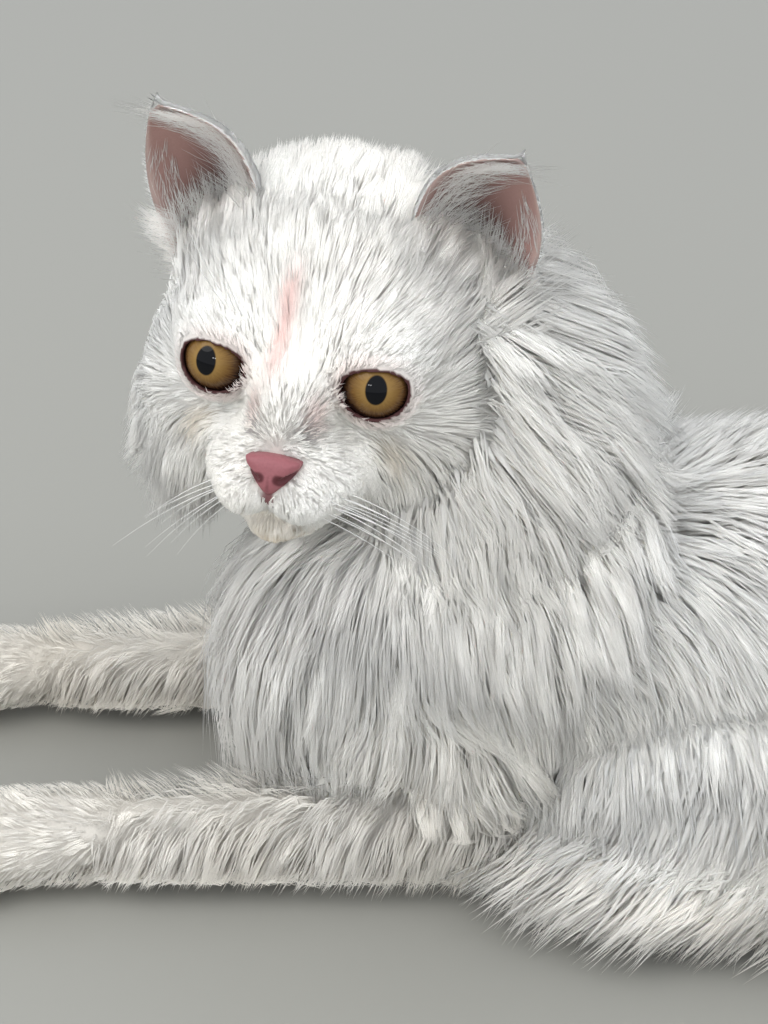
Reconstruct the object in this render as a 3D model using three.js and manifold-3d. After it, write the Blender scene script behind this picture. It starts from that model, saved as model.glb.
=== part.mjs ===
// A Persian cat at rest, life size. It lies on its chest with both forelegs stretched forward, its head
// raised and turned to its left, its hind legs folded beside it and its tail laid round its left side.
// Millimetres. The cat faces -Y, its left side is +X, +Z is up and the floor is z = 0.
// The origin is on the floor, on the flat of the belly.
import * as THREE from "three";
import { mergeVertices } from "three/addons/utils/BufferGeometryUtils.js";
import Module from "manifold-3d";

const wasm = await Module();
wasm.setup();

// Driving dimensions of the animal under its coat
const SPINE_HEIGHT = 60;
const TRUNK_HALF_WIDTH = 48;
const TRUNK_HALF_HEIGHT = 43;
const CHEST_FRONT = -30;
const RUMP = 282;
const NECK_RADIUS = 30;
const FORELEG_SPREAD = 40;
const FORELEG_RADIUS = 11;
const ELBOW = 26;
const LEFT_PAW = -110;
const RIGHT_PAW = -138;
const KNEE = 130;
const HOCK = 246;
const THIGH_SPREAD = 58;
const TAIL_RADIUS = 9;
const EYE_RADIUS = 10.4;
const EYE_SPACING = 41.8;
const EAR_LENGTH = 40;
const EAR_THICKNESS = 2.2;
const NOSE_WIDTH = 14.5;
const NOSE_DEPTH = 9;
const BEVEL = 0.8;

// The head: the point between the eyes, and how far it turns left, looks up and leans
const FACE = [23.5, -23.6, 153];
const HEAD_TURN = 75;
const HEAD_LIFT = 9.3;
const HEAD_LEAN = 3.6;

// Depths of the coat, from the skin to the tips
const BODY_COAT = 22;
const RUFF_COAT = 26;
const LEG_COAT = 9;
const PAW_COAT = 3;
const THIGH_COAT = 24;
const TAIL_COAT = 22;
const FACE_COAT = 3;
const CHEEK_COAT = 12;
const NAPE_COAT = 14;
const CROWN_COAT = 9;

// How far the core of the coat reaches from the skin to the tips, and the gap kept between nodes
const CORE = 0.5;
const GAP = 0.5;

// How far past the tips of its coat a node takes what is there
const ROOM = 5;

// Edges shorter than the first are closed up, and so are edges under the last in a face thinner than a needle.
const SHORTEST_EDGE = 0.9;
const NEEDLE = 0.15;
const NEEDLE_EDGE = 1.5;

// The lowest that the middle of a lock comes to the floor, and the steps of the lie between its sections
const LOCK_FLOOR = 1.5;
const LOCK_STEPS = 3;

const X = new THREE.Vector3(1, 0, 0);
const Y = new THREE.Vector3(0, 1, 0);
const Z = new THREE.Vector3(0, 0, 1);
const vec = (x, y, z) => new THREE.Vector3(x, y, z);
const mix = (a, b, t) => a + (b - a) * t;
const clamp01 = (t) => Math.min(1, Math.max(0, t));
const smooth = (a, b, x) => {
  const t = clamp01((x - a) / (b - a));
  return t * t * (3 - 2 * t);
};

// Seeded draws, so that every build is the same
function seeded(seed) {
  let state = seed;
  return () => {
    state = (state + 0x6d2b79f5) | 0;
    let t = Math.imul(state ^ (state >>> 15), 1 | state);
    t = (t + Math.imul(t ^ (t >>> 7), 61 | t)) ^ t;
    return ((t ^ (t >>> 14)) >>> 0) / 4294967296;
  };
}

// A place along a tube, kept away from its round ends
const clampEnds = (t) => Math.min(0.94, Math.max(0.06, t));

// Closed geometry to a solid, and the joins and cuts on solids
function solid(geometry) {
  const bare = geometry.index ? geometry.toNonIndexed() : geometry.clone();
  bare.deleteAttribute("normal");
  bare.deleteAttribute("uv");
  const merged = mergeVertices(bare, 1e-3);
  const triVerts = new Uint32Array(merged.index.array);
  const make = () =>
    new wasm.Manifold(
      new wasm.Mesh({ numProp: 3, vertProperties: merged.attributes.position.array, triVerts }),
    );
  const first = make();
  if (first.volume() > 0) return first;
  for (let i = 0; i < triVerts.length; i += 3) {
    [triVerts[i + 1], triVerts[i + 2]] = [triVerts[i + 2], triVerts[i + 1]];
  }
  return make();
}
const join = (solids) => {
  let level = solids;
  while (level.length > 1) {
    const next = [];
    for (let i = 0; i < level.length; i += 2) {
      next.push(i + 1 < level.length ? level[i].add(level[i + 1]) : level[i]);
    }
    level = next;
  }
  return level[0];
};

// The faces of a solid once each edge too short to see, and each needle's shortest edge, is drawn together
function withoutSlivers(body) {
  const { vertProperties, triVerts } = body.getMesh();
  const places = Array.from({ length: vertProperties.length / 3 }, (_, i) =>
    new THREE.Vector3().fromArray(vertProperties, 3 * i),
  );
  const faces = Array.from({ length: triVerts.length / 3 }, (_, i) => [...triVerts.slice(3 * i, 3 * i + 3)]);
  const around = places.map(() => new Set());
  faces.forEach((face, i) => face.forEach((corner) => around[corner].add(i)));
  const neighbours = (a) => new Set([...around[a]].flatMap((i) => faces[i]).filter((b) => b !== a));
  const normal = (ids, moved, to) => {
    const [a, b, c] = ids.map((i) => (moved.includes(i) ? to : places[i]));
    return b.clone().sub(a).cross(c.clone().sub(a));
  };
  const drawTogether = (a, b) => {
    const near = neighbours(b);
    if ([...neighbours(a)].filter((corner) => near.has(corner)).length !== 2) return;
    const to = places[a].clone().lerp(places[b], 0.5);
    const touching = [...new Set([...around[a], ...around[b]])];
    const ring = touching.filter((i) => !(around[a].has(i) && around[b].has(i)));
    const turned = ring.some((i) => {
      const before = normal(faces[i], [], to);
      return before.length() > NEEDLE && before.dot(normal(faces[i], [a, b], to)) < 0;
    });
    if (turned) return;
    places[a].copy(to);
    for (const i of around[b]) {
      if (around[a].has(i)) {
        faces[i].forEach((corner) => corner !== b && around[corner].delete(i));
        faces[i] = null;
      } else {
        faces[i] = faces[i].map((corner) => (corner === b ? a : corner));
        around[a].add(i);
      }
    }
    around[b].clear();
  };
  for (let pass = 0; pass < 6; pass++) {
    for (let i = 0; i < faces.length; i++) {
      if (!faces[i]) continue;
      const sides = [0, 1, 2].map((k) => [faces[i][k], faces[i][(k + 1) % 3]]);
      const long = sides.map(([a, b]) => places[a].distanceTo(places[b]));
      const shortest = long.indexOf(Math.min(...long));
      const height = normal(faces[i], [], null).length() / Math.max(...long);
      const tiny = long[shortest] < SHORTEST_EDGE || (height < NEEDLE && long[shortest] < NEEDLE_EDGE);
      if (tiny) drawTogether(...sides[shortest]);
    }
  }
  return {
    vertProperties: new Float32Array(places.flatMap((p) => p.toArray())),
    triVerts: new Uint32Array(faces.filter(Boolean).flat()),
  };
}

// The largest closed surface of a solid, without loose scraps and with its sealed hollows filled
function largest(body) {
  const { vertProperties, triVerts } = withoutSlivers(body);
  const count = triVerts.length / 3;
  const owner = Array.from({ length: count }, (_, i) => i);
  const find = (i) => {
    while (owner[i] !== i) i = owner[i] = owner[owner[i]];
    return i;
  };
  const edges = new Map();
  for (let i = 0; i < triVerts.length; i++) {
    const a = triVerts[i];
    const b = triVerts[i % 3 === 2 ? i - 2 : i + 1];
    const key = a < b ? `${a},${b}` : `${b},${a}`;
    const face = Math.floor(i / 3);
    if (edges.has(key)) owner[find(face)] = find(edges.get(key));
    else edges.set(key, face);
  }
  const shells = new Map();
  for (let face = 0; face < count; face++) {
    const shell = shells.get(find(face)) ?? { faces: [], volume: 0 };
    const ids = triVerts.slice(3 * face, 3 * face + 3);
    const [a, b, c] = [...ids].map((i) => new THREE.Vector3().fromArray(vertProperties, 3 * i));
    shell.faces.push(...ids);
    shell.volume += a.dot(b.cross(c)) / 6;
    shells.set(find(face), shell);
  }
  const best = [...shells.values()].reduce((most, shell) => (shell.volume > most.volume ? shell : most));
  const used = [...new Set(best.faces)];
  const place = new Map(used.map((i, k) => [i, k]));
  const corners = new Float32Array(used.flatMap((i) => [...vertProperties.slice(3 * i, 3 * i + 3)]));
  const triangles = new Uint32Array(best.faces.map((i) => place.get(i)));
  return new wasm.Manifold(
    new wasm.Mesh({ numProp: 3, vertProperties: corners, triVerts: triangles }),
  );
}

// A tube along a smooth line with round ends: a trunk, neck, limb or tail.
// Each station gives a place, the half width and half height of the flesh there, and the coat over it.
class Tube {
  constructor(stations, wideAxis = null, endShare = [0.12, 0.12]) {
    this.line = new THREE.CatmullRomCurve3(stations.map((s) => vec(...s.at)));
    this.sizes = new THREE.CatmullRomCurve3(stations.map((s) => vec(s.wide, s.tall, s.coat)));
    this.wideAxis = wideAxis;
    this.endShare = endShare;
    this.length = this.line.getLength();
  }
  size(t) {
    return this.sizes.getPoint(clamp01(t));
  }
  // The same tube cut off across its line at a share of its length
  stretch(until) {
    const shorter = Object.create(this);
    shorter.at = (t, angle, share, extra) => {
      const end = until + extra / this.length;
      return t < 1 ? this.at(t * end, angle, share, extra) : this.line.getPoint(end);
    };
    return shorter;
  }
  // The sideways and upward directions across the tube
  axes(t) {
    const along = this.line.getTangent(t);
    const wide = this.wideAxis
      ? this.wideAxis.clone().addScaledVector(along, -this.wideAxis.dot(along)).normalize()
      : new THREE.Vector3().crossVectors(along, Z).normalize();
    const tall = new THREE.Vector3().crossVectors(wide, along).normalize();
    if (tall.z < 0) tall.negate();
    return [wide, tall];
  }
  // A point at height above the skin, counted as a share of the coat and some millimetres more.
  at(t, angle, share, extra = 0) {
    const u = clamp01(t);
    const along = this.line.getTangent(u);
    const [wide, tall] = this.axes(u);
    const { x, y, z } = this.size(u);
    const over = z * share + extra;
    const fromStart = clamp01(u / this.endShare[0]);
    const fromEnd = clamp01((1 - u) / this.endShare[1]);
    const round = Math.sqrt(1 - (1 - fromStart) ** 2) * Math.sqrt(1 - (1 - fromEnd) ** 2);
    return this.line
      .getPoint(u)
      .addScaledVector(along, over * (fromStart - fromEnd))
      .addScaledVector(wide, Math.cos(angle) * (x + over) * round)
      .addScaledVector(tall, Math.sin(angle) * (y + over) * round);
  }
  // Whether a point is inside the tube at a share of its coat
  holds(p, share) {
    let nearest = 0;
    for (let i = 1; i <= 24; i++) {
      const t = i / 24;
      if (p.distanceTo(this.line.getPoint(t)) < p.distanceTo(this.line.getPoint(nearest))) nearest = t;
    }
    const middle = this.line.getPoint(nearest);
    const skin = this.at(clampEnds(nearest), this.angleOf(p, nearest), share);
    return p.distanceTo(middle) < middle.distanceTo(skin);
  }
  angleOf(p, t) {
    const [wide, tall] = this.axes(t);
    const q = p.clone().sub(this.line.getPoint(t));
    return Math.atan2(q.dot(tall), q.dot(wide));
  }
}

// A star-shaped form blended from ellipsoids: a head, paw or nose. Its coat is a function of the place.
class Blend {
  constructor(centre, ellipsoids, softness, coat, matrix) {
    this.centre = centre;
    this.ellipsoids = ellipsoids.map((e) => ({ at: vec(...e.at), size: vec(...e.size) }));
    this.softness = softness;
    this.coat = coat;
    this.matrix = matrix;
  }
  field(p) {
    let best = 1e9;
    for (const e of this.ellipsoids) {
      const q = p.clone().sub(e.at).divide(e.size);
      const near = q.length();
      const d = (near * (near - 1)) / Math.max(q.divide(e.size).length(), 1e-6);
      const h = clamp01(0.5 + (0.5 * (best - d)) / this.softness);
      best = best > 1e8 ? d : mix(best, d, h) - this.softness * h * (1 - h);
    }
    return best;
  }
  direction(u, angle) {
    const polar = clamp01(u) * Math.PI;
    return vec(Math.sin(polar) * Math.cos(angle), -Math.cos(polar), Math.sin(polar) * Math.sin(angle));
  }
  local(u, angle, share, extra = 0) {
    const out = this.direction(u, angle);
    let low = 0;
    let high = 140;
    for (let i = 0; i < 26; i++) {
      const middle = (low + high) / 2;
      const p = this.centre.clone().addScaledVector(out, middle);
      if (this.field(p) < this.coat(p) * share + extra) low = middle;
      else high = middle;
    }
    return this.centre.clone().addScaledVector(out, low);
  }
  at(u, angle, share, extra = 0) {
    return this.local(u, angle, share, extra).applyMatrix4(this.matrix);
  }
  holds() {
    return false;
  }
}

// The closed surface of a tube or blend, at a height above the skin.
function surface(form, rows, columns, share, extra = 0) {
  const points = [];
  const put = (p) => points.push(p.x, p.y, p.z);
  put(form.at(0, 0, share, extra));
  for (let i = 1; i < rows; i++) {
    const u = mix(i / rows, 0.5 - 0.5 * Math.cos((Math.PI * i) / rows), 0.5);
    for (let j = 0; j < columns; j++) put(form.at(u, (2 * Math.PI * j) / columns, share, extra));
  }
  put(form.at(1, 0, share, extra));
  const last = points.length / 3 - 1;
  const faces = [];
  for (let j = 0; j < columns; j++) {
    const k = (j + 1) % columns;
    faces.push(0, 1 + j, 1 + k);
    faces.push(last, last - columns + k, last - columns + j);
    for (let i = 0; i < rows - 2; i++) {
      const a = 1 + i * columns;
      const b = a + columns;
      faces.push(a + j, b + j, b + k, a + j, b + k, a + k);
    }
  }
  const g = new THREE.BufferGeometry();
  g.setAttribute("position", new THREE.Float32BufferAttribute(points, 3));
  g.setIndex(faces);
  return solid(g);
}

// A flat, tapered lock of hair. It starts in the core of its form, follows the lie of the coat over the
// surface and thins to a tip at the coat's full depth. Its section is a low ridge.
const LOCK_STATIONS = [
  { way: 0, height: 0.1, width: 0.7, ridge: 0.5 },
  { way: 0.38, height: 0.55, width: 1, ridge: 0.42 },
  { way: 0.74, height: 0.84, width: 0.62, ridge: 0.28 },
  { way: 1, height: 0.97, width: 0, ridge: 0 },
];
function lock(form, t, angle, lie, length, halfWidth) {
  const points = [];
  let [u, a, gone] = [t, angle, 0];
  let towards = Y;
  for (const { way, height, width, ridge } of LOCK_STATIONS) {
    const run = ((way - gone) * length) / LOCK_STEPS;
    for (let k = 0; k < LOCK_STEPS && way > 0; k++) {
      const here = form.at(u, a, height);
      const alongStep = form.at(u + 0.01, a, height).sub(here).multiplyScalar(100);
      const aroundStep = form.at(u, a + 0.05, height).sub(here).multiplyScalar(20);
      const want = lie(here).normalize();
      const [ee, ef, ff] = [alongStep.dot(alongStep), alongStep.dot(aroundStep), aroundStep.dot(aroundStep)];
      const [we, wf] = [want.dot(alongStep), want.dot(aroundStep)];
      const det = ee * ff - ef * ef || 1;
      const [du, da] = [(we * ff - wf * ef) / det, (wf * ee - we * ef) / det];
      const move = alongStep.multiplyScalar(du).addScaledVector(aroundStep, da);
      const scale = run / Math.max(move.length(), 0.3);
      towards = move.normalize();
      u = Math.min(0.99, Math.max(0.01, u + du * scale));
      a += da * scale;
    }
    gone = way;
    const middle = form.at(u, a, height);
    if (way > 0) middle.z = Math.max(middle.z, LOCK_FLOOR);
    const out = form.at(u, a, height + 0.1).sub(form.at(u, a, height)).normalize();
    if (way === 0) towards = lie(middle).normalize();
    const side = new THREE.Vector3().crossVectors(towards, out).normalize();
    if (width === 0) {
      points.push(middle);
      break;
    }
    points.push(
      middle.clone().addScaledVector(side, width * halfWidth).addScaledVector(out, -0.2 * ridge * halfWidth),
      middle.clone().addScaledVector(out, ridge * halfWidth),
      middle.clone().addScaledVector(side, -width * halfWidth).addScaledVector(out, -0.2 * ridge * halfWidth),
    );
  }
  const faces = [0, 1, 2];
  for (const ring of [0, 3]) {
    for (let k = 0; k < 3; k++) {
      const [p, q] = [ring + k, ring + ((k + 1) % 3)];
      faces.push(p, p + 3, q + 3, p, q + 3, q);
    }
  }
  for (let k = 0; k < 3; k++) faces.push(6 + k, 9, 6 + ((k + 1) % 3));
  const g = new THREE.BufferGeometry();
  g.setAttribute("position", new THREE.Float32BufferAttribute(points.flatMap((p) => p.toArray()), 3));
  g.setIndex(faces);
  return solid(g);
}

// Locks in staggered rows over a stretch of a form, left out where another form hides them
function coatLocks(form, plan, others, seed) {
  const random = seeded(seed);
  const locks = [];
  const { from, to, low, high, rows, columns, lie, length, halfWidth } = plan;
  for (let i = 0; i < rows; i++) {
    for (let j = 0; j < columns; j++) {
      const stagger = i % 2 ? 0.5 : 0;
      const t = mix(from, to, (i + 0.5 + 0.4 * (random() - 0.5)) / rows);
      const share = (j + stagger + 0.25 + 0.4 * (random() - 0.5)) / columns;
      const angle = THREE.MathUtils.degToRad(mix(low, high, share));
      const long = length * mix(0.85, 1.2, random());
      const wide = halfWidth * mix(0.85, 1.15, random());
      const root = form.at(t, angle, 0.7);
      const wanted = root.z > 8 && !others.some((other) => other !== form && other.holds(root, 0.6));
      if (wanted) locks.push(lock(form, t, angle, lie, long, wide));
    }
  }
  return locks;
}

// A thin sheet between two faces: point(u, v, side) gives the back face at side 0 and the front at side 1.
function sheet(point, rows, columns) {
  const points = [];
  const faces = [];
  const id = (i, j, side) => side * (rows + 1) * (columns + 1) + i * (columns + 1) + j;
  for (const side of [0, 1]) {
    for (let i = 0; i <= rows; i++) {
      for (let j = 0; j <= columns; j++) {
        const p = point(i / rows, (2 * j) / columns - 1, side);
        points.push(p.x, p.y, p.z);
      }
    }
  }
  const quad = (a, b, c, d) => faces.push(a, b, c, a, c, d);
  for (let i = 0; i < rows; i++) {
    for (let j = 0; j < columns; j++) {
      quad(id(i, j, 0), id(i + 1, j, 0), id(i + 1, j + 1, 0), id(i, j + 1, 0));
      quad(id(i, j, 1), id(i, j + 1, 1), id(i + 1, j + 1, 1), id(i + 1, j, 1));
    }
    quad(id(i, 0, 0), id(i, 0, 1), id(i + 1, 0, 1), id(i + 1, 0, 0));
    quad(id(i, columns, 0), id(i + 1, columns, 0), id(i + 1, columns, 1), id(i, columns, 1));
  }
  for (let j = 0; j < columns; j++) {
    quad(id(0, j, 0), id(0, j + 1, 0), id(0, j + 1, 1), id(0, j, 1));
    quad(id(rows, j, 0), id(rows, j, 1), id(rows, j + 1, 1), id(rows, j + 1, 0));
  }
  const g = new THREE.BufferGeometry();
  g.setAttribute("position", new THREE.Float32BufferAttribute(points, 3));
  g.setIndex(faces);
  return solid(g);
}

// Forms of the trunk, neck and limbs
const trunk = new Tube([
  { at: [0, CHEST_FRONT, SPINE_HEIGHT + 2], wide: 28, tall: 36, coat: RUFF_COAT },
  { at: [0, 15, SPINE_HEIGHT], wide: TRUNK_HALF_WIDTH - 6, tall: TRUNK_HALF_HEIGHT - 2, coat: BODY_COAT },
  { at: [0, 70, SPINE_HEIGHT - 3], wide: TRUNK_HALF_WIDTH - 3, tall: TRUNK_HALF_HEIGHT, coat: BODY_COAT },
  { at: [0, 130, SPINE_HEIGHT - 2], wide: TRUNK_HALF_WIDTH + 2, tall: TRUNK_HALF_HEIGHT, coat: BODY_COAT },
  { at: [0, 195, SPINE_HEIGHT], wide: TRUNK_HALF_WIDTH, tall: TRUNK_HALF_HEIGHT, coat: BODY_COAT },
  { at: [0, 248, SPINE_HEIGHT - 4], wide: TRUNK_HALF_WIDTH - 9, tall: TRUNK_HALF_HEIGHT - 6, coat: BODY_COAT },
  { at: [0, RUMP, SPINE_HEIGHT - 14], wide: 20, tall: 22, coat: BODY_COAT },
], X);
// The soft underside, pressed flat on the floor
const belly = new Tube([
  { at: [0, -22, 36], wide: 22, tall: 26, coat: BODY_COAT },
  { at: [0, 40, 34], wide: 34, tall: 30, coat: BODY_COAT },
  { at: [0, 160, 34], wide: 40, tall: 31, coat: BODY_COAT },
  { at: [0, RUMP - 22, 36], wide: 26, tall: 27, coat: BODY_COAT },
], X);
const throat = new Tube([
  { at: [0, 34, SPINE_HEIGHT + 6], wide: NECK_RADIUS + 6, tall: NECK_RADIUS + 6, coat: RUFF_COAT },
  { at: [-6, 28, 104], wide: NECK_RADIUS + 1, tall: NECK_RADIUS + 5, coat: RUFF_COAT },
  { at: [-22, 24, 136], wide: NECK_RADIUS - 10, tall: NECK_RADIUS - 3, coat: NAPE_COAT + 4 },
  { at: [-36, 12, 152], wide: NECK_RADIUS - 14, tall: NECK_RADIUS - 9, coat: NAPE_COAT },
], X);
const upperArm = (side) => new Tube([
  { at: [side * 24, 0, 60], wide: 13, tall: 15, coat: LEG_COAT },
  { at: [side * 33, 18, 44], wide: 14, tall: 17, coat: LEG_COAT + 3 },
  { at: [side * FORELEG_SPREAD, ELBOW + 6, 28], wide: 13, tall: 15, coat: LEG_COAT + 5 },
], X, [0.3, 0.3]);
const forearm = (side, paw) => {
  const x = side * FORELEG_SPREAD;
  return new Tube([
    { at: [x, ELBOW + 10, 23], wide: 13, tall: 14, coat: LEG_COAT + 4 },
    { at: [x, 0, 16.5], wide: 12, tall: 12, coat: LEG_COAT + 2 },
    { at: [x, mix(0, paw + 34, 0.55), 13.5], wide: FORELEG_RADIUS, tall: FORELEG_RADIUS, coat: LEG_COAT },
    { at: [x, paw + 26, 12], wide: FORELEG_RADIUS, tall: FORELEG_RADIUS - 1, coat: LEG_COAT - 2 },
  ], X);
};
const flank = (side) => new Tube([
  { at: [side * 28, 44, 28], wide: 14, tall: 15, coat: THIGH_COAT - 4 },
  { at: [side * 44, 80, 30], wide: 17, tall: 20, coat: THIGH_COAT },
  { at: [side * 53, 122, 34], wide: 18, tall: 24, coat: THIGH_COAT },
  { at: [side * 46, 172, 40], wide: 18, tall: 26, coat: THIGH_COAT },
], X);
const thigh = (side) => new Tube([
  { at: [side * 30, 238, 62], wide: 22, tall: 34, coat: THIGH_COAT - 4 },
  { at: [side * 44, 190, 58], wide: 22, tall: 38, coat: THIGH_COAT - 2 },
  { at: [side * THIGH_SPREAD, KNEE + 14, 47], wide: 20, tall: 33, coat: THIGH_COAT },
  { at: [side * (THIGH_SPREAD + 2), KNEE - 4, 38], wide: 15, tall: 22, coat: THIGH_COAT },
], X);
const shank = (side) => new Tube([
  { at: [side * (THIGH_SPREAD + 4), KNEE + 10, 30], wide: 15, tall: 16, coat: LEG_COAT + 8 },
  { at: [side * (THIGH_SPREAD + 6), mix(KNEE, HOCK, 0.55), 26], wide: 12, tall: 14, coat: LEG_COAT + 6 },
  { at: [side * (THIGH_SPREAD + 4), HOCK, 17], wide: 10, tall: 12, coat: LEG_COAT + 2 },
], X);
const tail = new Tube([
  { at: [0, RUMP - 12, 50], wide: TAIL_RADIUS + 2, tall: TAIL_RADIUS + 2, coat: TAIL_COAT - 4 },
  { at: [8, RUMP + 30, 28], wide: TAIL_RADIUS, tall: TAIL_RADIUS, coat: TAIL_COAT },
  { at: [48, RUMP + 50, 19], wide: TAIL_RADIUS, tall: TAIL_RADIUS - 1, coat: TAIL_COAT },
  { at: [98, RUMP + 22, 17], wide: TAIL_RADIUS - 1, tall: TAIL_RADIUS - 1, coat: TAIL_COAT },
  { at: [128, RUMP - 34, 16], wide: TAIL_RADIUS - 2, tall: TAIL_RADIUS - 2, coat: TAIL_COAT },
  { at: [136, RUMP - 84, 13], wide: TAIL_RADIUS - 4, tall: TAIL_RADIUS - 4, coat: TAIL_COAT },
]);

// Paws, with four toes each
const placed = (at, turn, lift, lean) =>
  new THREE.Matrix4()
    .makeTranslation(...at)
    .multiply(new THREE.Matrix4().makeRotationZ(THREE.MathUtils.degToRad(turn)))
    .multiply(new THREE.Matrix4().makeRotationX(THREE.MathUtils.degToRad(-lift)))
    .multiply(new THREE.Matrix4().makeRotationY(THREE.MathUtils.degToRad(lean)));
const pawForm = (at, turn, scale) => {
  const toes = [-1, 1].flatMap((side) => [
    { at: [side * 5 * scale, -20 * scale, -2.5], size: [6.2 * scale, 10 * scale, 8] },
    { at: [side * 12.5 * scale, -12 * scale, -3.5], size: [6 * scale, 10 * scale, 7] },
  ]);
  const palm = [
    { at: [0, 6, 0], size: [14 * scale, 24 * scale, 10.5] },
    { at: [0, 22, 2], size: [11 * scale, 20 * scale, 10] },
  ];
  return new Blend(vec(0, 0, 0), [...palm, ...toes], 2.5, () => PAW_COAT, placed(at, turn, 0, 0));
};

// The head, in a frame between the eyes with x to its left, y to its back and z up
const HEAD_MATRIX = placed(FACE, HEAD_TURN, HEAD_LIFT, HEAD_LEAN);
const headCoat = (p) => {
  const nape = smooth(34, 66, p.y) * (NAPE_COAT - FACE_COAT);
  const cheek = smooth(20, 36, Math.abs(p.x)) * smooth(4, 24, p.y) * smooth(26, -4, p.z);
  const crown = smooth(12, 34, p.y) * smooth(6, 30, p.z) * (CROWN_COAT - FACE_COAT);
  return FACE_COAT + Math.max(nape, crown, cheek * (CHEEK_COAT - FACE_COAT));
};
const head = new Blend(
  vec(0, 24, -4),
  [
    { at: [0, 40, 11], size: [34, 36, 30] },
    ...[-1, 1].flatMap((side) => [
      { at: [side * 22, 31, -14], size: [22, 24, 22] },
      { at: [side * 19, 13, 5], size: [15, 14, 13] },
      { at: [side * 8, 1, -26], size: [11.5, 13.5, 9.5] },
    ]),
    { at: [0, 5, -9], size: [9.5, 16.5, 14] },
    { at: [0, 5, -36], size: [9.5, 12, 8] },
    { at: [0, 28, -26], size: [24, 24, 16] },
  ],
  9,
  headCoat,
  HEAD_MATRIX,
);

// Where each eye sits, looking a little outwards
const eyeAt = (side) => vec((side * EYE_SPACING) / 2, EYE_RADIUS - 3, 0);
const ball = (centre, radius, across, around) => {
  const g = new THREE.SphereGeometry(radius, across, around);
  g.translate(centre.x, centre.y, centre.z);
  g.applyMatrix4(HEAD_MATRIX);
  return solid(g);
};

// The opening between the lids, wider than it is high, with its ends drawn to the corners of the eye.
function lidOpening(side) {
  const shape = new THREE.Shape();
  const wide = 9.6;
  shape.moveTo(-wide, -1.5);
  shape.quadraticCurveTo(-2, 10.5, wide, 2.2);
  shape.quadraticCurveTo(1, -14.5, -wide, -1.5);
  const g = new THREE.ExtrudeGeometry(shape, { depth: 30, bevelEnabled: false, curveSegments: 6 });
  g.rotateX(Math.PI / 2);
  g.scale(side, 1, 1);
  g.rotateZ(THREE.MathUtils.degToRad(side * 14));
  const eye = eyeAt(side);
  g.translate(eye.x, eye.y, eye.z);
  g.applyMatrix4(HEAD_MATRIX);
  return solid(g);
}

// A groove or small hole along a line on the head
function groove(points, radius) {
  const line = new THREE.CatmullRomCurve3(points.map((p) => vec(...p)));
  const shape = new THREE.Shape();
  shape.absarc(0, 0, radius, 0, Math.PI * 2, false);
  const g = new THREE.ExtrudeGeometry(shape, {
    extrudePath: line,
    steps: points.length * 2,
    curveSegments: 4,
    bevelEnabled: false,
  });
  g.applyMatrix4(HEAD_MATRIX);
  return solid(g);
}

// The nose leather: a rounded triangle with its point down at the cleft of the lip
function noseLeather(gap) {
  const half = NOSE_WIDTH / 2 + gap;
  const shape = new THREE.Shape();
  shape.moveTo(-half, 2.6 + gap);
  shape.quadraticCurveTo(0, 4.4 + 2 * gap, half, 2.6 + gap);
  shape.quadraticCurveTo(half * 0.72, -1.2, 1.3 + gap, -6.6 - gap);
  shape.lineTo(-1.3 - gap, -6.6 - gap);
  shape.quadraticCurveTo(-half * 0.72, -1.2, -half, 2.6 + gap);
  const g = new THREE.ExtrudeGeometry(shape, {
    depth: NOSE_DEPTH + 3 * gap,
    bevelEnabled: gap === 0,
    bevelSize: BEVEL,
    bevelThickness: BEVEL,
    bevelOffset: -BEVEL,
    bevelSegments: 1,
    curveSegments: 3,
  });
  g.rotateX(Math.PI / 2);
  g.rotateX(THREE.MathUtils.degToRad(-12));
  g.translate(0, -7.2 + (gap ? BEVEL + gap : 0), -19.5);
  g.applyMatrix4(HEAD_MATRIX);
  return solid(g);
}

// A cupped ear between its inner and outer corners on the head and its tip, and the room it takes
function ear(side, extra) {
  const inner = vec(side * 20, 33, 30);
  const outer = vec(side * 47, 47, 10);
  const tip = vec(side * 48.5, 24, 58);
  const middle = inner.clone().add(outer).multiplyScalar(0.5);
  const across = outer.clone().sub(inner).multiplyScalar(0.5);
  const up = tip.clone().sub(middle);
  const back = new THREE.Vector3().crossVectors(across, up).normalize();
  if (back.y < 0) back.negate();
  const shell = sheet((u, v, front) => {
    const h = mix(-0.2, 1, u);
    const narrow = 1 - 0.9 * Math.max(h, 0) ** 2.4;
    const thickness = EAR_THICKNESS * mix(1, 0.6, u);
    const bowl = (1 - v * v) * mix(17, 2, clamp01(h)) + (front ? -thickness - extra : extra);
    const lean = 3 * Math.sin(Math.PI * clamp01(h));
    return middle
      .clone()
      .addScaledVector(up, h * (1 + extra / EAR_LENGTH))
      .addScaledVector(across, v * (narrow * (1 + 0.12 * Math.sin(Math.PI * clamp01(h))) + extra / EAR_LENGTH))
      .addScaledVector(back, bowl + lean)
      .applyMatrix4(HEAD_MATRIX);
  }, 8, 6);
  return shell;
}

// The floor, and everything under it
function underFloor() {
  const g = new THREE.BoxGeometry(900, 1200, 300);
  g.translate(0, 60, -150);
  return solid(g);
}

const body = {};

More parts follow.
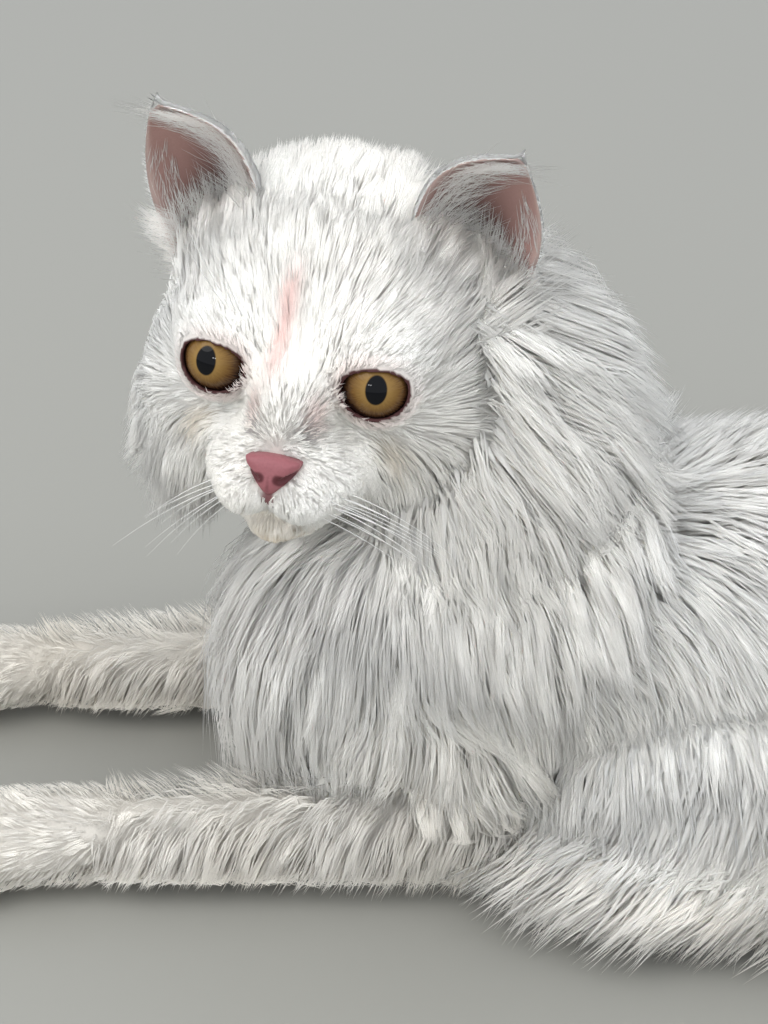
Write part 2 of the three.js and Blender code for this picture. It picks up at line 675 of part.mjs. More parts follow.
// The head with sockets for the eyes, lids, the line of the mouth and the pocket of the nose
const headSkin = surface(head, 23, 28, CORE);
const lids = [-1, 1].map((side) => ball(eyeAt(side), EYE_RADIUS + 2.6, 14, 9));
let skull = join([headSkin, ...lids]);
for (const side of [-1, 1]) {
  skull = skull.subtract(ball(eyeAt(side), EYE_RADIUS + 1.8 * GAP, 16, 10));
  skull = skull.subtract(lidOpening(side));
}
const philtrum = [[0, -16.5, -24], [0, -16, -28], [0, -13.5, -31.5]];
skull = skull.subtract(groove(philtrum, 1));
for (const side of [-1, 1]) {
  const lip = [[0, -13.8, -31], [side * 6, -14, -33.8], [side * 13, -9, -34.5], [side * 19, -1, -31]];
  skull = skull.subtract(groove(lip, 1.1));
}
skull = skull.subtract(noseLeather(2.4 * GAP));
let leather = noseLeather(0);
for (const side of [-1, 1]) {
  const nostril = [[side * 2.8, -18.5, -20.6], [side * 4.2, -15, -20.8], [side * 5.6, -12, -19.8]];
  leather = leather.subtract(groove(nostril, 1.2));
}
body.nose = leather;
for (const side of [-1, 1]) body[`eye_${side > 0 ? "left" : "right"}`] = ball(eyeAt(side), EYE_RADIUS, 16, 10);
const headRoom = surface(head, 23, 28, CORE, GAP);
for (const side of [-1, 1]) {
  body[`ear_${side > 0 ? "left" : "right"}`] = largest(ear(side, 0).subtract(headRoom));
}

// The rest of the body as one form
const paws = {
  forepaw_left: pawForm([FORELEG_SPREAD, LEFT_PAW, 12], 2, 1.1),
  forepaw_right: pawForm([-FORELEG_SPREAD, RIGHT_PAW, 12], -2, 1.1),
  hindpaw_left: pawForm([THIGH_SPREAD + 14, KNEE + 32, 10], 6, 1.05),
  hindpaw_right: pawForm([-THIGH_SPREAD - 14, KNEE + 32, 10], -6, 1.05),
};
const legs = {
  foreleg_left: [forearm(1, LEFT_PAW), upperArm(1)],
  foreleg_right: [forearm(-1, RIGHT_PAW), upperArm(-1)],
  hindleg_left: [thigh(1), shank(1)],
  hindleg_right: [thigh(-1), shank(-1)],
};
const flanks = [flank(1), flank(-1)];

// How the coat lies: the direction of the hair at a place, which each lock follows along its surface
const lieBack = (p) => vec(0.15 * Math.sign(p.x), mix(0.1, 0.9, smooth(-30, 60, p.y)), -0.9);
const lieRuff = (p) => vec(0.25 * Math.sign(p.x), mix(-0.25, 0.45, smooth(-40, 50, p.y)), -1);
const lieThigh = (p) => vec(0.5 * Math.sign(p.x), -0.3, -1);
const lieFoot = (p) => vec(0.3 * Math.sign(p.x), 0.35, -1);
const lieTail = (p) => {
  let best = 0;
  for (let i = 1; i <= 20; i++) {
    if (p.distanceTo(tail.line.getPoint(i / 20)) < p.distanceTo(tail.line.getPoint(best))) best = i / 20;
  }
  return tail.line.getTangent(best).add(vec(0, 0, -0.35));
};
const lieCheek = (p) => {
  const local = p.clone().applyMatrix4(HEAD_MATRIX.clone().invert());
  return vec(Math.sign(local.x), 0.9, -0.9).transformDirection(HEAD_MATRIX);
};
const lieNape = () => vec(0, 1, -0.5).transformDirection(HEAD_MATRIX);

const left = { low: -25, high: 120 };
const right = { low: 60, high: 205 };
const whole = { low: -15, high: 195 };
const round = { low: 0, high: 360 };
const PLANS = {
  back: { from: 0.1, to: 0.97, ...whole, rows: 7, columns: 7, lie: lieBack, length: 66, halfWidth: 15 },
  chest: { from: 0.01, to: 0.07, ...whole, rows: 2, columns: 6, lie: lieRuff, length: 52, halfWidth: 14 },
  ruff: { from: 0.25, to: 0.95, ...round, rows: 4, columns: 9, lie: lieRuff, length: 58, halfWidth: 14 },
  flank: { from: 0.1, to: 0.9, rows: 4, columns: 2, lie: lieThigh, length: 54, halfWidth: 13 },
  thigh: { from: 0.12, to: 0.85, rows: 3, columns: 4, lie: lieThigh, length: 56, halfWidth: 14 },
  elbow: { from: 0.02, to: 0.3, rows: 2, columns: 2, lie: lieFoot, length: 28, halfWidth: 9 },
  tail: { from: 0.08, to: 0.97, ...whole, rows: 6, columns: 3, lie: lieTail, length: 62, halfWidth: 14 },
  cheek: { from: 0.38, to: 0.72, rows: 3, columns: 3, lie: lieCheek, length: 26, halfWidth: 9 },
  nape: { from: 0.62, to: 0.86, low: 25, high: 155, rows: 2, columns: 4, lie: lieNape, length: 32, halfWidth: 11 },
};
const forms = [trunk, throat, belly, tail, ...flanks, ...Object.values(paws), ...Object.values(legs).flat()];
const over = (form, seed, plan) => coatLocks(form, plan, forms, seed);
const locks = [
  over(trunk, 1, PLANS.back),
  over(trunk, 12, PLANS.chest),
  over(throat, 2, PLANS.ruff),
  over(flanks[0], 3, { ...PLANS.flank, ...left }),
  over(flanks[1], 4, { ...PLANS.flank, ...right }),
  over(legs.hindleg_left[0], 5, { ...PLANS.thigh, ...left }),
  over(legs.hindleg_right[0], 6, { ...PLANS.thigh, ...right }),
  over(legs.foreleg_left[0], 7, { ...PLANS.elbow, ...left }),
  over(legs.foreleg_right[0], 8, { ...PLANS.elbow, ...right }),
  over(tail, 9, PLANS.tail),
].flat();
const headLocks = [
  over(head, 10, { ...PLANS.cheek, low: -50, high: 35 }),
  over(head, 11, { ...PLANS.cheek, low: 145, high: 230 }),
  over(head, 13, PLANS.nape),
].flat();

const pieces = [
  surface(trunk, 15, 18, CORE),
  surface(throat, 8, 16, CORE),
  surface(belly, 7, 12, CORE),
  ...flanks.map((form) => surface(form, 7, 10, CORE)),
  surface(tail, 16, 8, CORE),
  ...Object.values(paws).map((form) => surface(form, 8, 11, CORE)),
  ...Object.values(legs).flat().map((form) => surface(form, 8, 10, CORE)),
];
const hairy = join([...pieces, ...locks]).subtract(underFloor()).subtract(headRoom);
const earRooms = join([-1, 1].map((side) => ear(side, 2 * GAP)));
let rest = join([join([hairy, ...headLocks]).subtract(earRooms), skull]);

// Thin cuts part it into its nodes: each takes what lies in the room round its own forms.
function part(name, rooms) {
  body[name] = largest(rest.intersect(join(rooms(ROOM))));
  rest = rest.subtract(join(rooms(ROOM + GAP)));
}
part("head", (extra) => [surface(head, 11, 12, 1, extra)]);
for (const [name, form] of Object.entries(paws)) part(name, (extra) => [surface(form, 5, 8, 1, extra)]);
for (const [name, bones] of Object.entries(legs)) {
  part(name, (extra) => bones.map((form) => surface(form, 6, 8, 1, extra)));
}
part("tail_base", (extra) => [surface(tail.stretch(0.34), 7, 8, 1, extra)]);
part("tail_middle", (extra) => [surface(tail.stretch(0.67), 12, 8, 1, extra)]);
part("tail_tip", (extra) => [surface(tail, 16, 8, 1, extra)]);
part("neck", (extra) => [surface(throat, 6, 10, 1, extra)]);
body.torso = largest(rest);

const COATS = {
  nose: { color: 0xc9757f, roughness: 0.5 },
  eye_left: { color: 0x8a5f2a, roughness: 0.1 },
  eye_right: { color: 0x8a5f2a, roughness: 0.1 },
  ear_left: { color: 0xe3cfca, roughness: 0.9 },
  ear_right: { color: 0xe3cfca, roughness: 0.9 },
};
const FUR = { color: 0xf0eeea, roughness: 0.95 };

const cat = new THREE.Group();
for (const [name, form] of Object.entries(body)) {
  const { vertProperties, triVerts } = form.getMesh();
  const g = new THREE.BufferGeometry();
  g.setAttribute("position", new THREE.BufferAttribute(vertProperties, 3));
  g.setIndex(new THREE.BufferAttribute(triVerts, 1));
  g.computeVertexNormals();
  const mesh = new THREE.Mesh(g, new THREE.MeshStandardMaterial({ metalness: 0, ...(COATS[name] ?? FUR) }));
  mesh.name = name;
  cat.add(mesh);
}

export default cat;
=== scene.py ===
"""Looks of a lying Persian cat, built over its solid model.

Lengths in the tables and formulas are millimetres, and every finished mesh is in metres. The cat faces -Y,
its left side is +X, +Z is up and the floor is z = 0. Places marked q are in the head's own frame: x to its
left, y to its back, z up, and zero midway between the eyes.
"""

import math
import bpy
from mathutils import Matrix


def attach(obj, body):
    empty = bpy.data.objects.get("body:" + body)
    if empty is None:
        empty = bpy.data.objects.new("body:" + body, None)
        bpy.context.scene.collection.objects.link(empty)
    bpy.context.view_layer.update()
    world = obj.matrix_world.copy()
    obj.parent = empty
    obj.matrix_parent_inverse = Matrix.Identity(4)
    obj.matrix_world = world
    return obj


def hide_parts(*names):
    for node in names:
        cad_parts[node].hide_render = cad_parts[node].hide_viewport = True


bl_info = {
    "name": "Persian cat",
    "version": (1, 0, 0),
    "blender": (4, 5, 0),
    "location": "View3D > Sidebar > Cat",
    "description": "Skin, coat, eyes, ears, nose and whiskers of a lying Persian cat, floor and lights",
    "category": "Object",
}

import bmesh
import bpy
import numpy as np
from bpy.props import FloatProperty, FloatVectorProperty, IntProperty, PointerProperty
from mathutils import Matrix, Vector
from mathutils.bvhtree import BVHTree
from mathutils.kdtree import KDTree

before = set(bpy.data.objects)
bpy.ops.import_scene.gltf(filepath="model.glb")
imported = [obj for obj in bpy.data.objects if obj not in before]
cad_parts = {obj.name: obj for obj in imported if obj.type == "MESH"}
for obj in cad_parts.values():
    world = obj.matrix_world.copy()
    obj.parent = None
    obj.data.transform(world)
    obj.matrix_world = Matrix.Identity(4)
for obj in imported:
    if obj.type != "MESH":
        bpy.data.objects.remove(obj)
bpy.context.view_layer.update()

MM = 0.001
SIDES = {"left": 1, "right": -1}

# The animal under its coat, as in the solids
SPINE_HEIGHT = 60
TRUNK_HALF_WIDTH = 48
TRUNK_HALF_HEIGHT = 43
RUMP = 282
NECK_RADIUS = 30
FORELEG_SPREAD = 40
FORELEG_RADIUS = 11
ELBOW = 26
LEFT_PAW = -110
RIGHT_PAW = -138
KNEE = 130
HOCK = 246
THIGH_SPREAD = 58
TAIL_RADIUS = 9
EYE_RADIUS = 10.4
EYE_SPACING = 41.8

# Where the head's frame stands, and its turn, lift and lean in degrees
FACE = (23.5, -23.6, 153)
HEAD_TURN, HEAD_LIFT, HEAD_LEAN = 75, 9.3, 3.6

# The opening between the lids: its reach from the eye's middle, its slope, and its shift towards the nose
LID_HALF_WIDTH, LID_RISE, LID_DROP = 8.5, 6.1, 7.1
LID_TILT, LID_SHIFT = 0.05, 0.9

# Depth of the coat on each part
BODY_COAT = 22
RUFF_COAT = 26
LEG_COAT = 9
PAW_COAT = 3
THIGH_COAT = 24
TAIL_COAT = 22
FACE_COAT = 3
CHEEK_COAT = 12
NAPE_COAT = 14
CROWN_COAT = 9

# Below this height hair leaves the skin and runs out straight. Skin and hair keep the first gap from the floor,
# and hair that is drawn into locks the second
FREE_HEIGHT = 16
FLOOR_GAP, LOCK_GAP = 1.0, 0.9

# The cleft of the muzzle, in the head's frame
CLEFT = [(0, -17.5, -24), (0, -19.3, -28), (0, -16.5, -32.5)]


def turned(turn, lift, lean):
    """The matrix of a turn about z, a lift about x and a lean about y, in degrees."""
    return (
        Matrix.Rotation(math.radians(turn), 4, "Z")
        @ Matrix.Rotation(math.radians(-lift), 4, "X")
        @ Matrix.Rotation(math.radians(lean), 4, "Y")
    )


HEAD_AXES = np.array(turned(HEAD_TURN, HEAD_LIFT, HEAD_LEAN).to_3x3())


def to_head(points):
    """World millimetres to the head's frame: x to its left, y to its back, z up, zero between the eyes."""
    return (np.asarray(points, float) - FACE) @ HEAD_AXES


def from_head(points):
    """Places in the head's frame to world millimetres."""
    return np.asarray(points, float) @ HEAD_AXES.T + FACE


def mix(a, b, t):
    """From a to b by the share t."""
    return a + (b - a) * t


def smooth(a, b, x):
    """0 below a, 1 above b, with a soft step between."""
    t = np.clip((np.asarray(x, float) - a) / (b - a), 0, 1)
    return t * t * (3 - 2 * t)


def unit(v):
    """Vectors of length one."""
    return v / np.maximum(np.linalg.norm(v, axis=-1, keepdims=True), 1e-9)


def along_line(points, t):
    """Places on a smooth line through the points, at shares t of its way."""
    points = np.asarray(points, float)
    last = len(points) - 1
    place = np.clip(t, 0, 1) * last
    i = np.minimum(place.astype(int), last - 1)
    w = (place - i)[:, None]
    all_points = np.vstack([2 * points[0] - points[1], points, 2 * points[-1] - points[-2]])
    p0, p1, p2, p3 = (all_points[i + k] for k in range(4))

    def span(a, b):
        return np.sum((a - b) ** 2, 1)[:, None] ** 0.25

    d1 = span(p1, p2)
    d1 = np.where(d1 < 1e-4, 1, d1)
    d0, d2 = span(p0, p1), span(p2, p3)
    d0, d2 = np.where(d0 < 1e-4, d1, d0), np.where(d2 < 1e-4, d1, d2)
    m1 = ((p1 - p0) / d0 - (p2 - p0) / (d0 + d1) + (p2 - p1) / d1) * d1
    m2 = ((p2 - p1) / d1 - (p3 - p1) / (d1 + d2) + (p3 - p2) / d2) * d1
    rise = 3 * (p2 - p1) - 2 * m1 - m2
    return p1 + w * (m1 + w * (rise + w * (2 * (p1 - p2) + m1 + m2)))


class Tube:
    """A trunk, neck, limb or tail: stations of a place, half width, half height and coat depth."""

    def __init__(self, stations, wide_axis=None, ends=(0.12, 0.12)):
        self.line = np.array([at for at, *_ in stations], float)
        self.sizes = np.array([sizes for _, *sizes in stations], float)
        self.wide_axis = wide_axis
        self.ends = ends

    def tangent(self, t):
        """The direction of the tube's middle line."""
        return unit(along_line(self.line, t + 1e-4) - along_line(self.line, t - 1e-4))

    def coat(self, t, points):
        """Depth of the coat at shares t of the way along."""
        return along_line(self.sizes, t)[:, 2]

    def at(self, t, angle, extra=0.0):
        """Places on the tube, or the extra distance outside it: t along, angle round."""
        along = self.tangent(t)
        if self.wide_axis is None:
            wide = unit(np.cross(along, (0, 0, 1)))
        else:
            axis = np.array(self.wide_axis, float)
            wide = unit(axis - along * (along @ axis)[:, None])
        tall = unit(np.cross(wide, along))
        tall *= np.where(tall[:, 2:] < 0, -1, 1)
        x, y, _ = along_line(self.sizes, t).T
        start = np.clip(t / self.ends[0], 0, 1)
        end = np.clip((1 - t) / self.ends[1], 0, 1)
        round_off = np.sqrt(1 - (1 - start) ** 2) * np.sqrt(1 - (1 - end) ** 2)
        return (
            along_line(self.line, t)
            + along * (extra * (start - end))[:, None]
            + wide * (np.cos(angle) * (x + extra) * round_off)[:, None]
            + tall * (np.sin(angle) * (y + extra) * round_off)[:, None]
        )


class Blend:
    """A head or paw: ellipsoids blended into one form that every ray from its centre leaves once."""

    # how far along a ray the form's edge is looked for, and how often that way is halved
    REACH = 140.0
    HALVINGS = 22

    def __init__(self, centre, ellipsoids, softness, coat, place):
        self.centre = np.array(centre, float)
        self.ellipsoids = [(np.array(at, float), np.array(size, float)) for at, size in ellipsoids]
        self.softness = softness
        self.coat_at = coat
        self.place = place

    def field(self, points):
        """Distance from the blended form, less than zero inside it."""
        best = None
        for at, size in self.ellipsoids:
            q = (points - at) / size
            near = np.linalg.norm(q, axis=1)
            d = near * (near - 1) / np.maximum(np.linalg.norm(q / size, axis=1), 1e-6)
            if best is None:
                best = d
                continue
            h = np.clip(0.5 + 0.5 * (best - d) / self.softness, 0, 1)
            best = mix(best, d, h) - self.softness * h * (1 - h)
        return best

    def coat(self, t, points):
        """Depth of the coat at places on the form."""
        return self.coat_at(self.place(points, True))

    def at(self, u, angle, extra=0.0):
        """Places on the form, or the extra distance outside it: u from front to back, angle round."""
        polar = np.clip(u, 0, 1) * math.pi
        out = np.stack([np.sin(polar) * np.cos(angle), -np.cos(polar), np.sin(polar) * np.sin(angle)], 1)
        low, high = np.zeros(len(out)), np.full(len(out), self.REACH)
        for _ in range(self.HALVINGS):
            middle = (low + high) / 2
            inside = self.field(self.centre + out * middle[:, None]) < extra
            low, high = np.where(inside, middle, low), np.where(inside, high, middle)
        return self.place(self.centre + out * low[:, None], False)


X_AXIS = (1, 0, 0)
trunk = Tube([
    ((0, -30, 62), 28, 36, RUFF_COAT),
    ((0, 15, SPINE_HEIGHT), TRUNK_HALF_WIDTH - 6, TRUNK_HALF_HEIGHT - 2, BODY_COAT),
    ((0, 70, SPINE_HEIGHT - 3), TRUNK_HALF_WIDTH - 3, TRUNK_HALF_HEIGHT, BODY_COAT),
    ((0, 130, SPINE_HEIGHT - 2), TRUNK_HALF_WIDTH + 2, TRUNK_HALF_HEIGHT, BODY_COAT),
    ((0, 195, SPINE_HEIGHT), TRUNK_HALF_WIDTH, TRUNK_HALF_HEIGHT, BODY_COAT),
    ((0, 248, SPINE_HEIGHT - 4), TRUNK_HALF_WIDTH - 9, TRUNK_HALF_HEIGHT - 6, BODY_COAT),
    ((0, RUMP, SPINE_HEIGHT - 14), 20, 22, BODY_COAT),
], X_AXIS)
belly = Tube([
    ((0, -22, 36), 22, 26, BODY_COAT),
    ((0, 40, 34), 34, 30, BODY_COAT),
    ((0, 160, 34), 40, 31, BODY_COAT),
    ((0, RUMP - 22, 36), 26, 27, BODY_COAT),
], X_AXIS)
throat = Tube([
    ((0, 34, SPINE_HEIGHT + 6), NECK_RADIUS + 6, NECK_RADIUS + 6, RUFF_COAT),
    ((-6, 28, 104), NECK_RADIUS + 1, NECK_RADIUS + 5, RUFF_COAT),
    ((-22, 24, 136), NECK_RADIUS - 10, NECK_RADIUS - 3, NAPE_COAT + 4),
    ((-36, 12, 152), NECK_RADIUS - 14, NECK_RADIUS - 9, NAPE_COAT),
], X_AXIS)


def upper_arm(side):
    """The upper foreleg, from the shoulder to the elbow."""
    return Tube([
        ((side * 24, 0, 60), 13, 15, LEG_COAT),
        ((side * 33, 18, 44), 14, 17, LEG_COAT + 3),
        ((side * FORELEG_SPREAD, ELBOW + 6, 28), 13, 15, LEG_COAT + 5),
    ], X_AXIS, (0.3, 0.3))


def forearm(side, paw):
    """The lower foreleg, from the elbow to its paw."""
    x = side * FORELEG_SPREAD
    return Tube([
        ((x, ELBOW + 10, 23), 13, 14, LEG_COAT + 4),
        ((x, 0, 16.5), 12, 12, LEG_COAT + 2),
        ((x, mix(0, paw + 34, 0.55), 13.5), FORELEG_RADIUS, FORELEG_RADIUS, LEG_COAT),
        ((x, paw + 26, 12), FORELEG_RADIUS, FORELEG_RADIUS - 1, LEG_COAT - 2),
    ], X_AXIS)


def flank(side):
    """The side of the belly, behind the elbow."""
    return Tube([
        ((side * 28, 44, 28), 14, 15, THIGH_COAT - 4),
        ((side * 44, 80, 30), 17, 20, THIGH_COAT),
        ((side * 53, 122, 34), 18, 24, THIGH_COAT),
        ((side * 46, 172, 40), 18, 26, THIGH_COAT),
    ], X_AXIS)


def thigh(side):
    """The folded thigh, from the hip to the knee."""
    return Tube([
        ((side * 30, 238, 62), 22, 34, THIGH_COAT - 4),
        ((side * 44, 190, 58), 22, 38, THIGH_COAT - 2),
        ((side * THIGH_SPREAD, KNEE + 14, 47), 20, 33, THIGH_COAT),
        ((side * (THIGH_SPREAD + 2), KNEE - 4, 38), 15, 22, THIGH_COAT),
    ], X_AXIS)


def shank(side):
    """The lower hind leg, from the knee to the hock."""
    return Tube([
        ((side * (THIGH_SPREAD + 4), KNEE + 10, 30), 15, 16, LEG_COAT + 8),
        ((side * (THIGH_SPREAD + 6), mix(KNEE, HOCK, 0.55), 26), 12, 14, LEG_COAT + 6),
        ((side * (THIGH_SPREAD + 4), HOCK, 17), 10, 12, LEG_COAT + 2),
    ], X_AXIS)


tail = Tube([
    ((0, RUMP - 12, 50), TAIL_RADIUS + 2, TAIL_RADIUS + 2, TAIL_COAT - 4),
    ((8, RUMP + 30, 28), TAIL_RADIUS, TAIL_RADIUS, TAIL_COAT),
    ((48, RUMP + 50, 19), TAIL_RADIUS, TAIL_RADIUS - 1, TAIL_COAT),
    ((98, RUMP + 22, 17), TAIL_RADIUS - 1, TAIL_RADIUS - 1, TAIL_COAT),
    ((128, RUMP - 34, 16), TAIL_RADIUS - 2, TAIL_RADIUS - 2, TAIL_COAT),
    ((136, RUMP - 84, 13), TAIL_RADIUS - 4, TAIL_RADIUS - 4, TAIL_COAT),
])


def paw(at, turn, scale):
    """A paw with four toes."""
    axes = np.array(turned(turn, 0, 0).to_3x3())

    def place(points, back):
        return (points - at) @ axes if back else points @ axes.T + at

    toes = []
    for side in (-1, 1):
        toes.append(((side * 5 * scale, -20 * scale, -2.5), (6.2 * scale, 10 * scale, 8)))
        toes.append(((side * 12.5 * scale, -12 * scale, -3.5), (6 * scale, 10 * scale, 7)))
    palm = [((0, 6, 0), (14 * scale, 24 * scale, 10.5)), ((0, 22, 2), (11 * scale, 20 * scale, 10))]
    return Blend((0, 0, 0), palm + toes, 2.5, lambda p: np.full(len(p), float(PAW_COAT)), place)


def head_coat(p):
    """Depth of the coat on the head, in its own frame: short on the face, longer on cheeks and nape."""
    nape = smooth(34, 66, p[:, 1]) * (NAPE_COAT - FACE_COAT)
    cheek = smooth(20, 36, np.abs(p[:, 0])) * smooth(4, 24, p[:, 1]) * (1 - smooth(-4, 26, p[:, 2]))
    crown = smooth(12, 34, p[:, 1]) * smooth(6, 30, p[:, 2]) * (CROWN_COAT - FACE_COAT)
    return FACE_COAT + np.maximum(np.maximum(nape, crown), cheek * (CHEEK_COAT - FACE_COAT))


def both(at, size):
    """The same ellipsoid on both sides."""
    return [((side * at[0], at[1], at[2]), size) for side in (-1, 1)]


head = Blend(
    (0, 24, -4),
    [
        ((0, 40, 11), (34, 36, 30)),
        *both((22, 31, -14), (22, 24, 22)),
        *both((19, 13, 5), (15, 14, 13)),
        *both((8, 1, -26), (11.5, 13.5, 9.5)),
        ((0, 5, -9), (9.5, 16.5, 14)),
        ((0, 5, -36), (9.5, 12, 8)),
        ((0, 28, -26), (24, 24, 16)),
    ],
    9,
    head_coat,
    lambda points, back: to_head(points) if back else from_head(points),
)

FORMS = {
    "head": head,
    "throat": throat,
    "trunk": trunk,
    "belly": belly,
    "tail": tail,
}
for name, side in SIDES.items():
    forepaw_y = LEFT_PAW if side > 0 else RIGHT_PAW
    FORMS[f"upper_arm_{name}"] = upper_arm(side)
    FORMS[f"forearm_{name}"] = forearm(side, forepaw_y)
    FORMS[f"flank_{name}"] = flank(side)
    FORMS[f"thigh_{name}"] = thigh(side)
    FORMS[f"shank_{name}"] = shank(side)
    FORMS[f"forepaw_{name}"] = paw((side * FORELEG_SPREAD, forepaw_y, 12), 2 * side, 1.1)
    FORMS[f"hindpaw_{name}"] = paw((side * (THIGH_SPREAD + 14), KNEE + 32, 10), 6 * side, 1.05)
FORM_NAMES = list(FORMS)


def eye_centre(side):
    """The middle of an eyeball, in the head's frame."""
    return np.array([side * EYE_SPACING / 2, EYE_RADIUS - 3, 0])


def lip_line(side):
    """The line of the mouth from its middle to one corner, in the head's frame."""
    return [(0, -17, -32), (side * 5, -16.5, -34.6), (side * 11, -12, -35), (side * 17, -4, -31.5)]


# ---------------------------------------------------------------- meshes


def add_object(name, mesh):
    """An object of a mesh, in the scene."""
    ob = bpy.data.objects.new(name, mesh)
    bpy.context.scene.collection.objects.link(ob)
    return ob


def mesh_from(name, points, faces):
    """An object from points in millimetres and a list of faces."""
    mesh = bpy.data.meshes.new(name)
    mesh.from_pydata((np.asarray(points) * MM).tolist(), [], [list(f) for f in faces])
    mesh.update()
    return add_object(name, mesh)


def grid_faces(rows, columns):
    """Faces of a closed grid: its two poles are the first and the last point."""
    faces = []
    last = 1 + (rows - 1) * columns
    for j in range(columns):
        k = (j + 1) % columns
        faces.append((0, 1 + j, 1 + k))
        faces.append((last, last - columns + k, last - columns + j))
        for i in range(rows - 2):
            a = 1 + i * columns
            faces.append((a + j, a + columns + j, a + columns + k, a + k))
    return faces


def closed_grid(form, rows, columns, extra=0.0):
    """The closed surface of a form, as points and faces."""
    i = np.arange(1, rows)
    u = mix(i / rows, 0.5 - 0.5 * np.cos(np.pi * i / rows), 0.5)
    t = np.concatenate([[0], np.repeat(u, columns), [1]])
    angle = np.concatenate([[0], np.tile(2 * np.pi * np.arange(columns) / columns, rows - 1), [0]])
    return form.at(t, angle, extra), grid_faces(rows, columns)


def turn_out(ob):
    """Turns every face of a closed mesh outwards."""
    bm = bmesh.new()
    bm.from_mesh(ob.data)
    bmesh.ops.recalc_face_normals(bm, faces=bm.faces)
    bm.to_mesh(ob.data)
    bm.free()


def apply_modifiers(ob):
    """Puts the result of an object's modifiers in its own mesh."""
    graph = bpy.context.evaluated_depsgraph_get()
    made = bpy.data.meshes.new_from_object(ob.evaluated_get(graph))
    ob.modifiers.clear()
    old, ob.data = ob.data, made
    made.name = ob.name
    bpy.data.meshes.remove(old)


def remesh(ob, size):
    """One closed skin round all the overlapping shells of a mesh."""
    wrap = ob.modifiers.new("wrap", "REMESH")
    wrap.mode = "VOXEL"
    wrap.voxel_size = size * MM
    wrap.adaptivity = 0
    apply_modifiers(ob)


def relax(ob, steps, factor=0.5):
    """Evens out small steps of a mesh."""
    ease = ob.modifiers.new("ease", "SMOOTH")
    ease.iterations = steps
    ease.factor = factor
    apply_modifiers(ob)


def cut(ob, tool, how="DIFFERENCE"):
    """Cuts a tool out of an object, or joins it on, and discards the tool."""
    knife = ob.modifiers.new("cut", "BOOLEAN")
    knife.operation = how
    knife.solver = "MANIFOLD"
    knife.object = tool
    apply_modifiers(ob)
    discard(tool)


def discard(ob):
    """Removes an object and its mesh."""
    mesh = ob.data
    bpy.data.objects.remove(ob)
    bpy.data.meshes.remove(mesh)


def join_all(name, objects):
    """One object of several."""
    points, faces = [], []
    for ob in objects:
        start = len(points)
        points += [v.co / MM for v in ob.data.vertices]
        faces += [[start + i for i in p.vertices] for p in ob.data.polygons]
    for ob in objects:
        discard(ob)
    return mesh_from(name, np.array(points), faces)


def ball(name, centre, radius, rings=32, columns=48):
    """A sphere round a place in the head's frame, with its poles across the face."""
    polar = np.pi * np.arange(1, rings) / rings
    p, a = np.repeat(polar, columns), np.tile(2 * np.pi * np.arange(columns) / columns, rings - 1)
    out = np.stack([np.sin(p) * np.cos(a), -np.cos(p), np.sin(p) * np.sin(a)], 1)
    out = np.vstack([[0, -1, 0], out, [0, 1, 0]])
    ob = mesh_from(name, from_head(np.asarray(centre) + radius * out), grid_faces(rings, columns))
    turn_out(ob)
    return ob


def shade_smooth_mesh(mesh):
    mesh.polygons.foreach_set("use_smooth", np.ones(len(mesh.polygons), bool))


def mesh_points(ob):
    """An object's vertices and their normals, in millimetres."""
    mesh = ob.data
    co, no = np.zeros(3 * len(mesh.vertices)), np.zeros(3 * len(mesh.vertices), np.float32)
    mesh.vertices.foreach_get("co", co)
    mesh.vertex_normals.foreach_get("vector", no)
    return co.reshape(-1, 3) / MM, no.reshape(-1, 3).astype(float)


def paint(ob, name, colours):
    """Writes one colour for each vertex, linear red, green and blue."""
    layer = ob.data.attributes.new(name, "FLOAT_COLOR", "POINT")
    rgba = np.ones((len(colours), 4), np.float32)
    rgba[:, :3] = colours
    layer.data.foreach_set("color", rgba.ravel())


def finish_piece(ob, material, replaced=()):
    """Gives a piece its material, slot and body, and hides the nodes of the solids that it takes the place of.
    """
    ob.data.materials.clear()
    ob.data.materials.append(material)
    shade_smooth_mesh(ob.data)
    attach(ob, "root")
    if replaced:
        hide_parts(*replaced)
    return ob


# ---------------------------------------------------------------- colours and materials


def tone(red, green, blue):
    """Screen colour, 0 to 255, to linear light."""
    c = np.array([red, green, blue]) / 255
    return np.where(c <= 0.04045, c / 12.92, ((c + 0.055) / 1.055) ** 2.4)


def default_colour(red, green, blue):
    return tuple(float(c) for c in tone(red, green, blue))


def spot(p, centre, radius):
    """1 at a place, falling to 0 at the radius (one number, or one for each axis)."""
    q = (p - np.array(centre, float)) / np.array(radius, float)
    return 1 - smooth(0, 1, np.linalg.norm(q, axis=1))


def wobble(p, size, seed):
    """Soft noise from -1 to 1, the same for the skin and the coat over it."""
    rng = np.random.default_rng(seed)
    total = np.zeros(len(p))
    for _ in range(6):
        direction = unit(rng.normal(size=3))
        total += np.sin(p @ direction * (2 * np.pi / (size * rng.uniform(0.7, 1.5))) + rng.uniform(0, 6.3))
    return total / 3


# Patches of colour on each side of the head: colour, amount, place with x outwards, reach along each axis,
# and the grain that breaks a patch up (its size, its seed, and the noise at which it starts and is full)
SIDE_PATCHES = [
    ("pink", 0.75, (EYE_SPACING / 2, -1, -1), (15, 14, 12), None),
    ("pink", 0.45, (8, -9, -8), (5, 9, 8), None),
    ("stain", 0.35, (24, 6, -17), (7, 10, 6), None),
    ("speck", 0.85, (6.5, -14, -12), (6, 24, 8), (1.7, 5, -0.3, 0.45)),
    ("dust", 0.8, (10, -12, -1), (1.1, 20, 1.1), None),
    ("dust", 0.7, (9, -12, -5), (1.0, 20, 1.0), None),
]
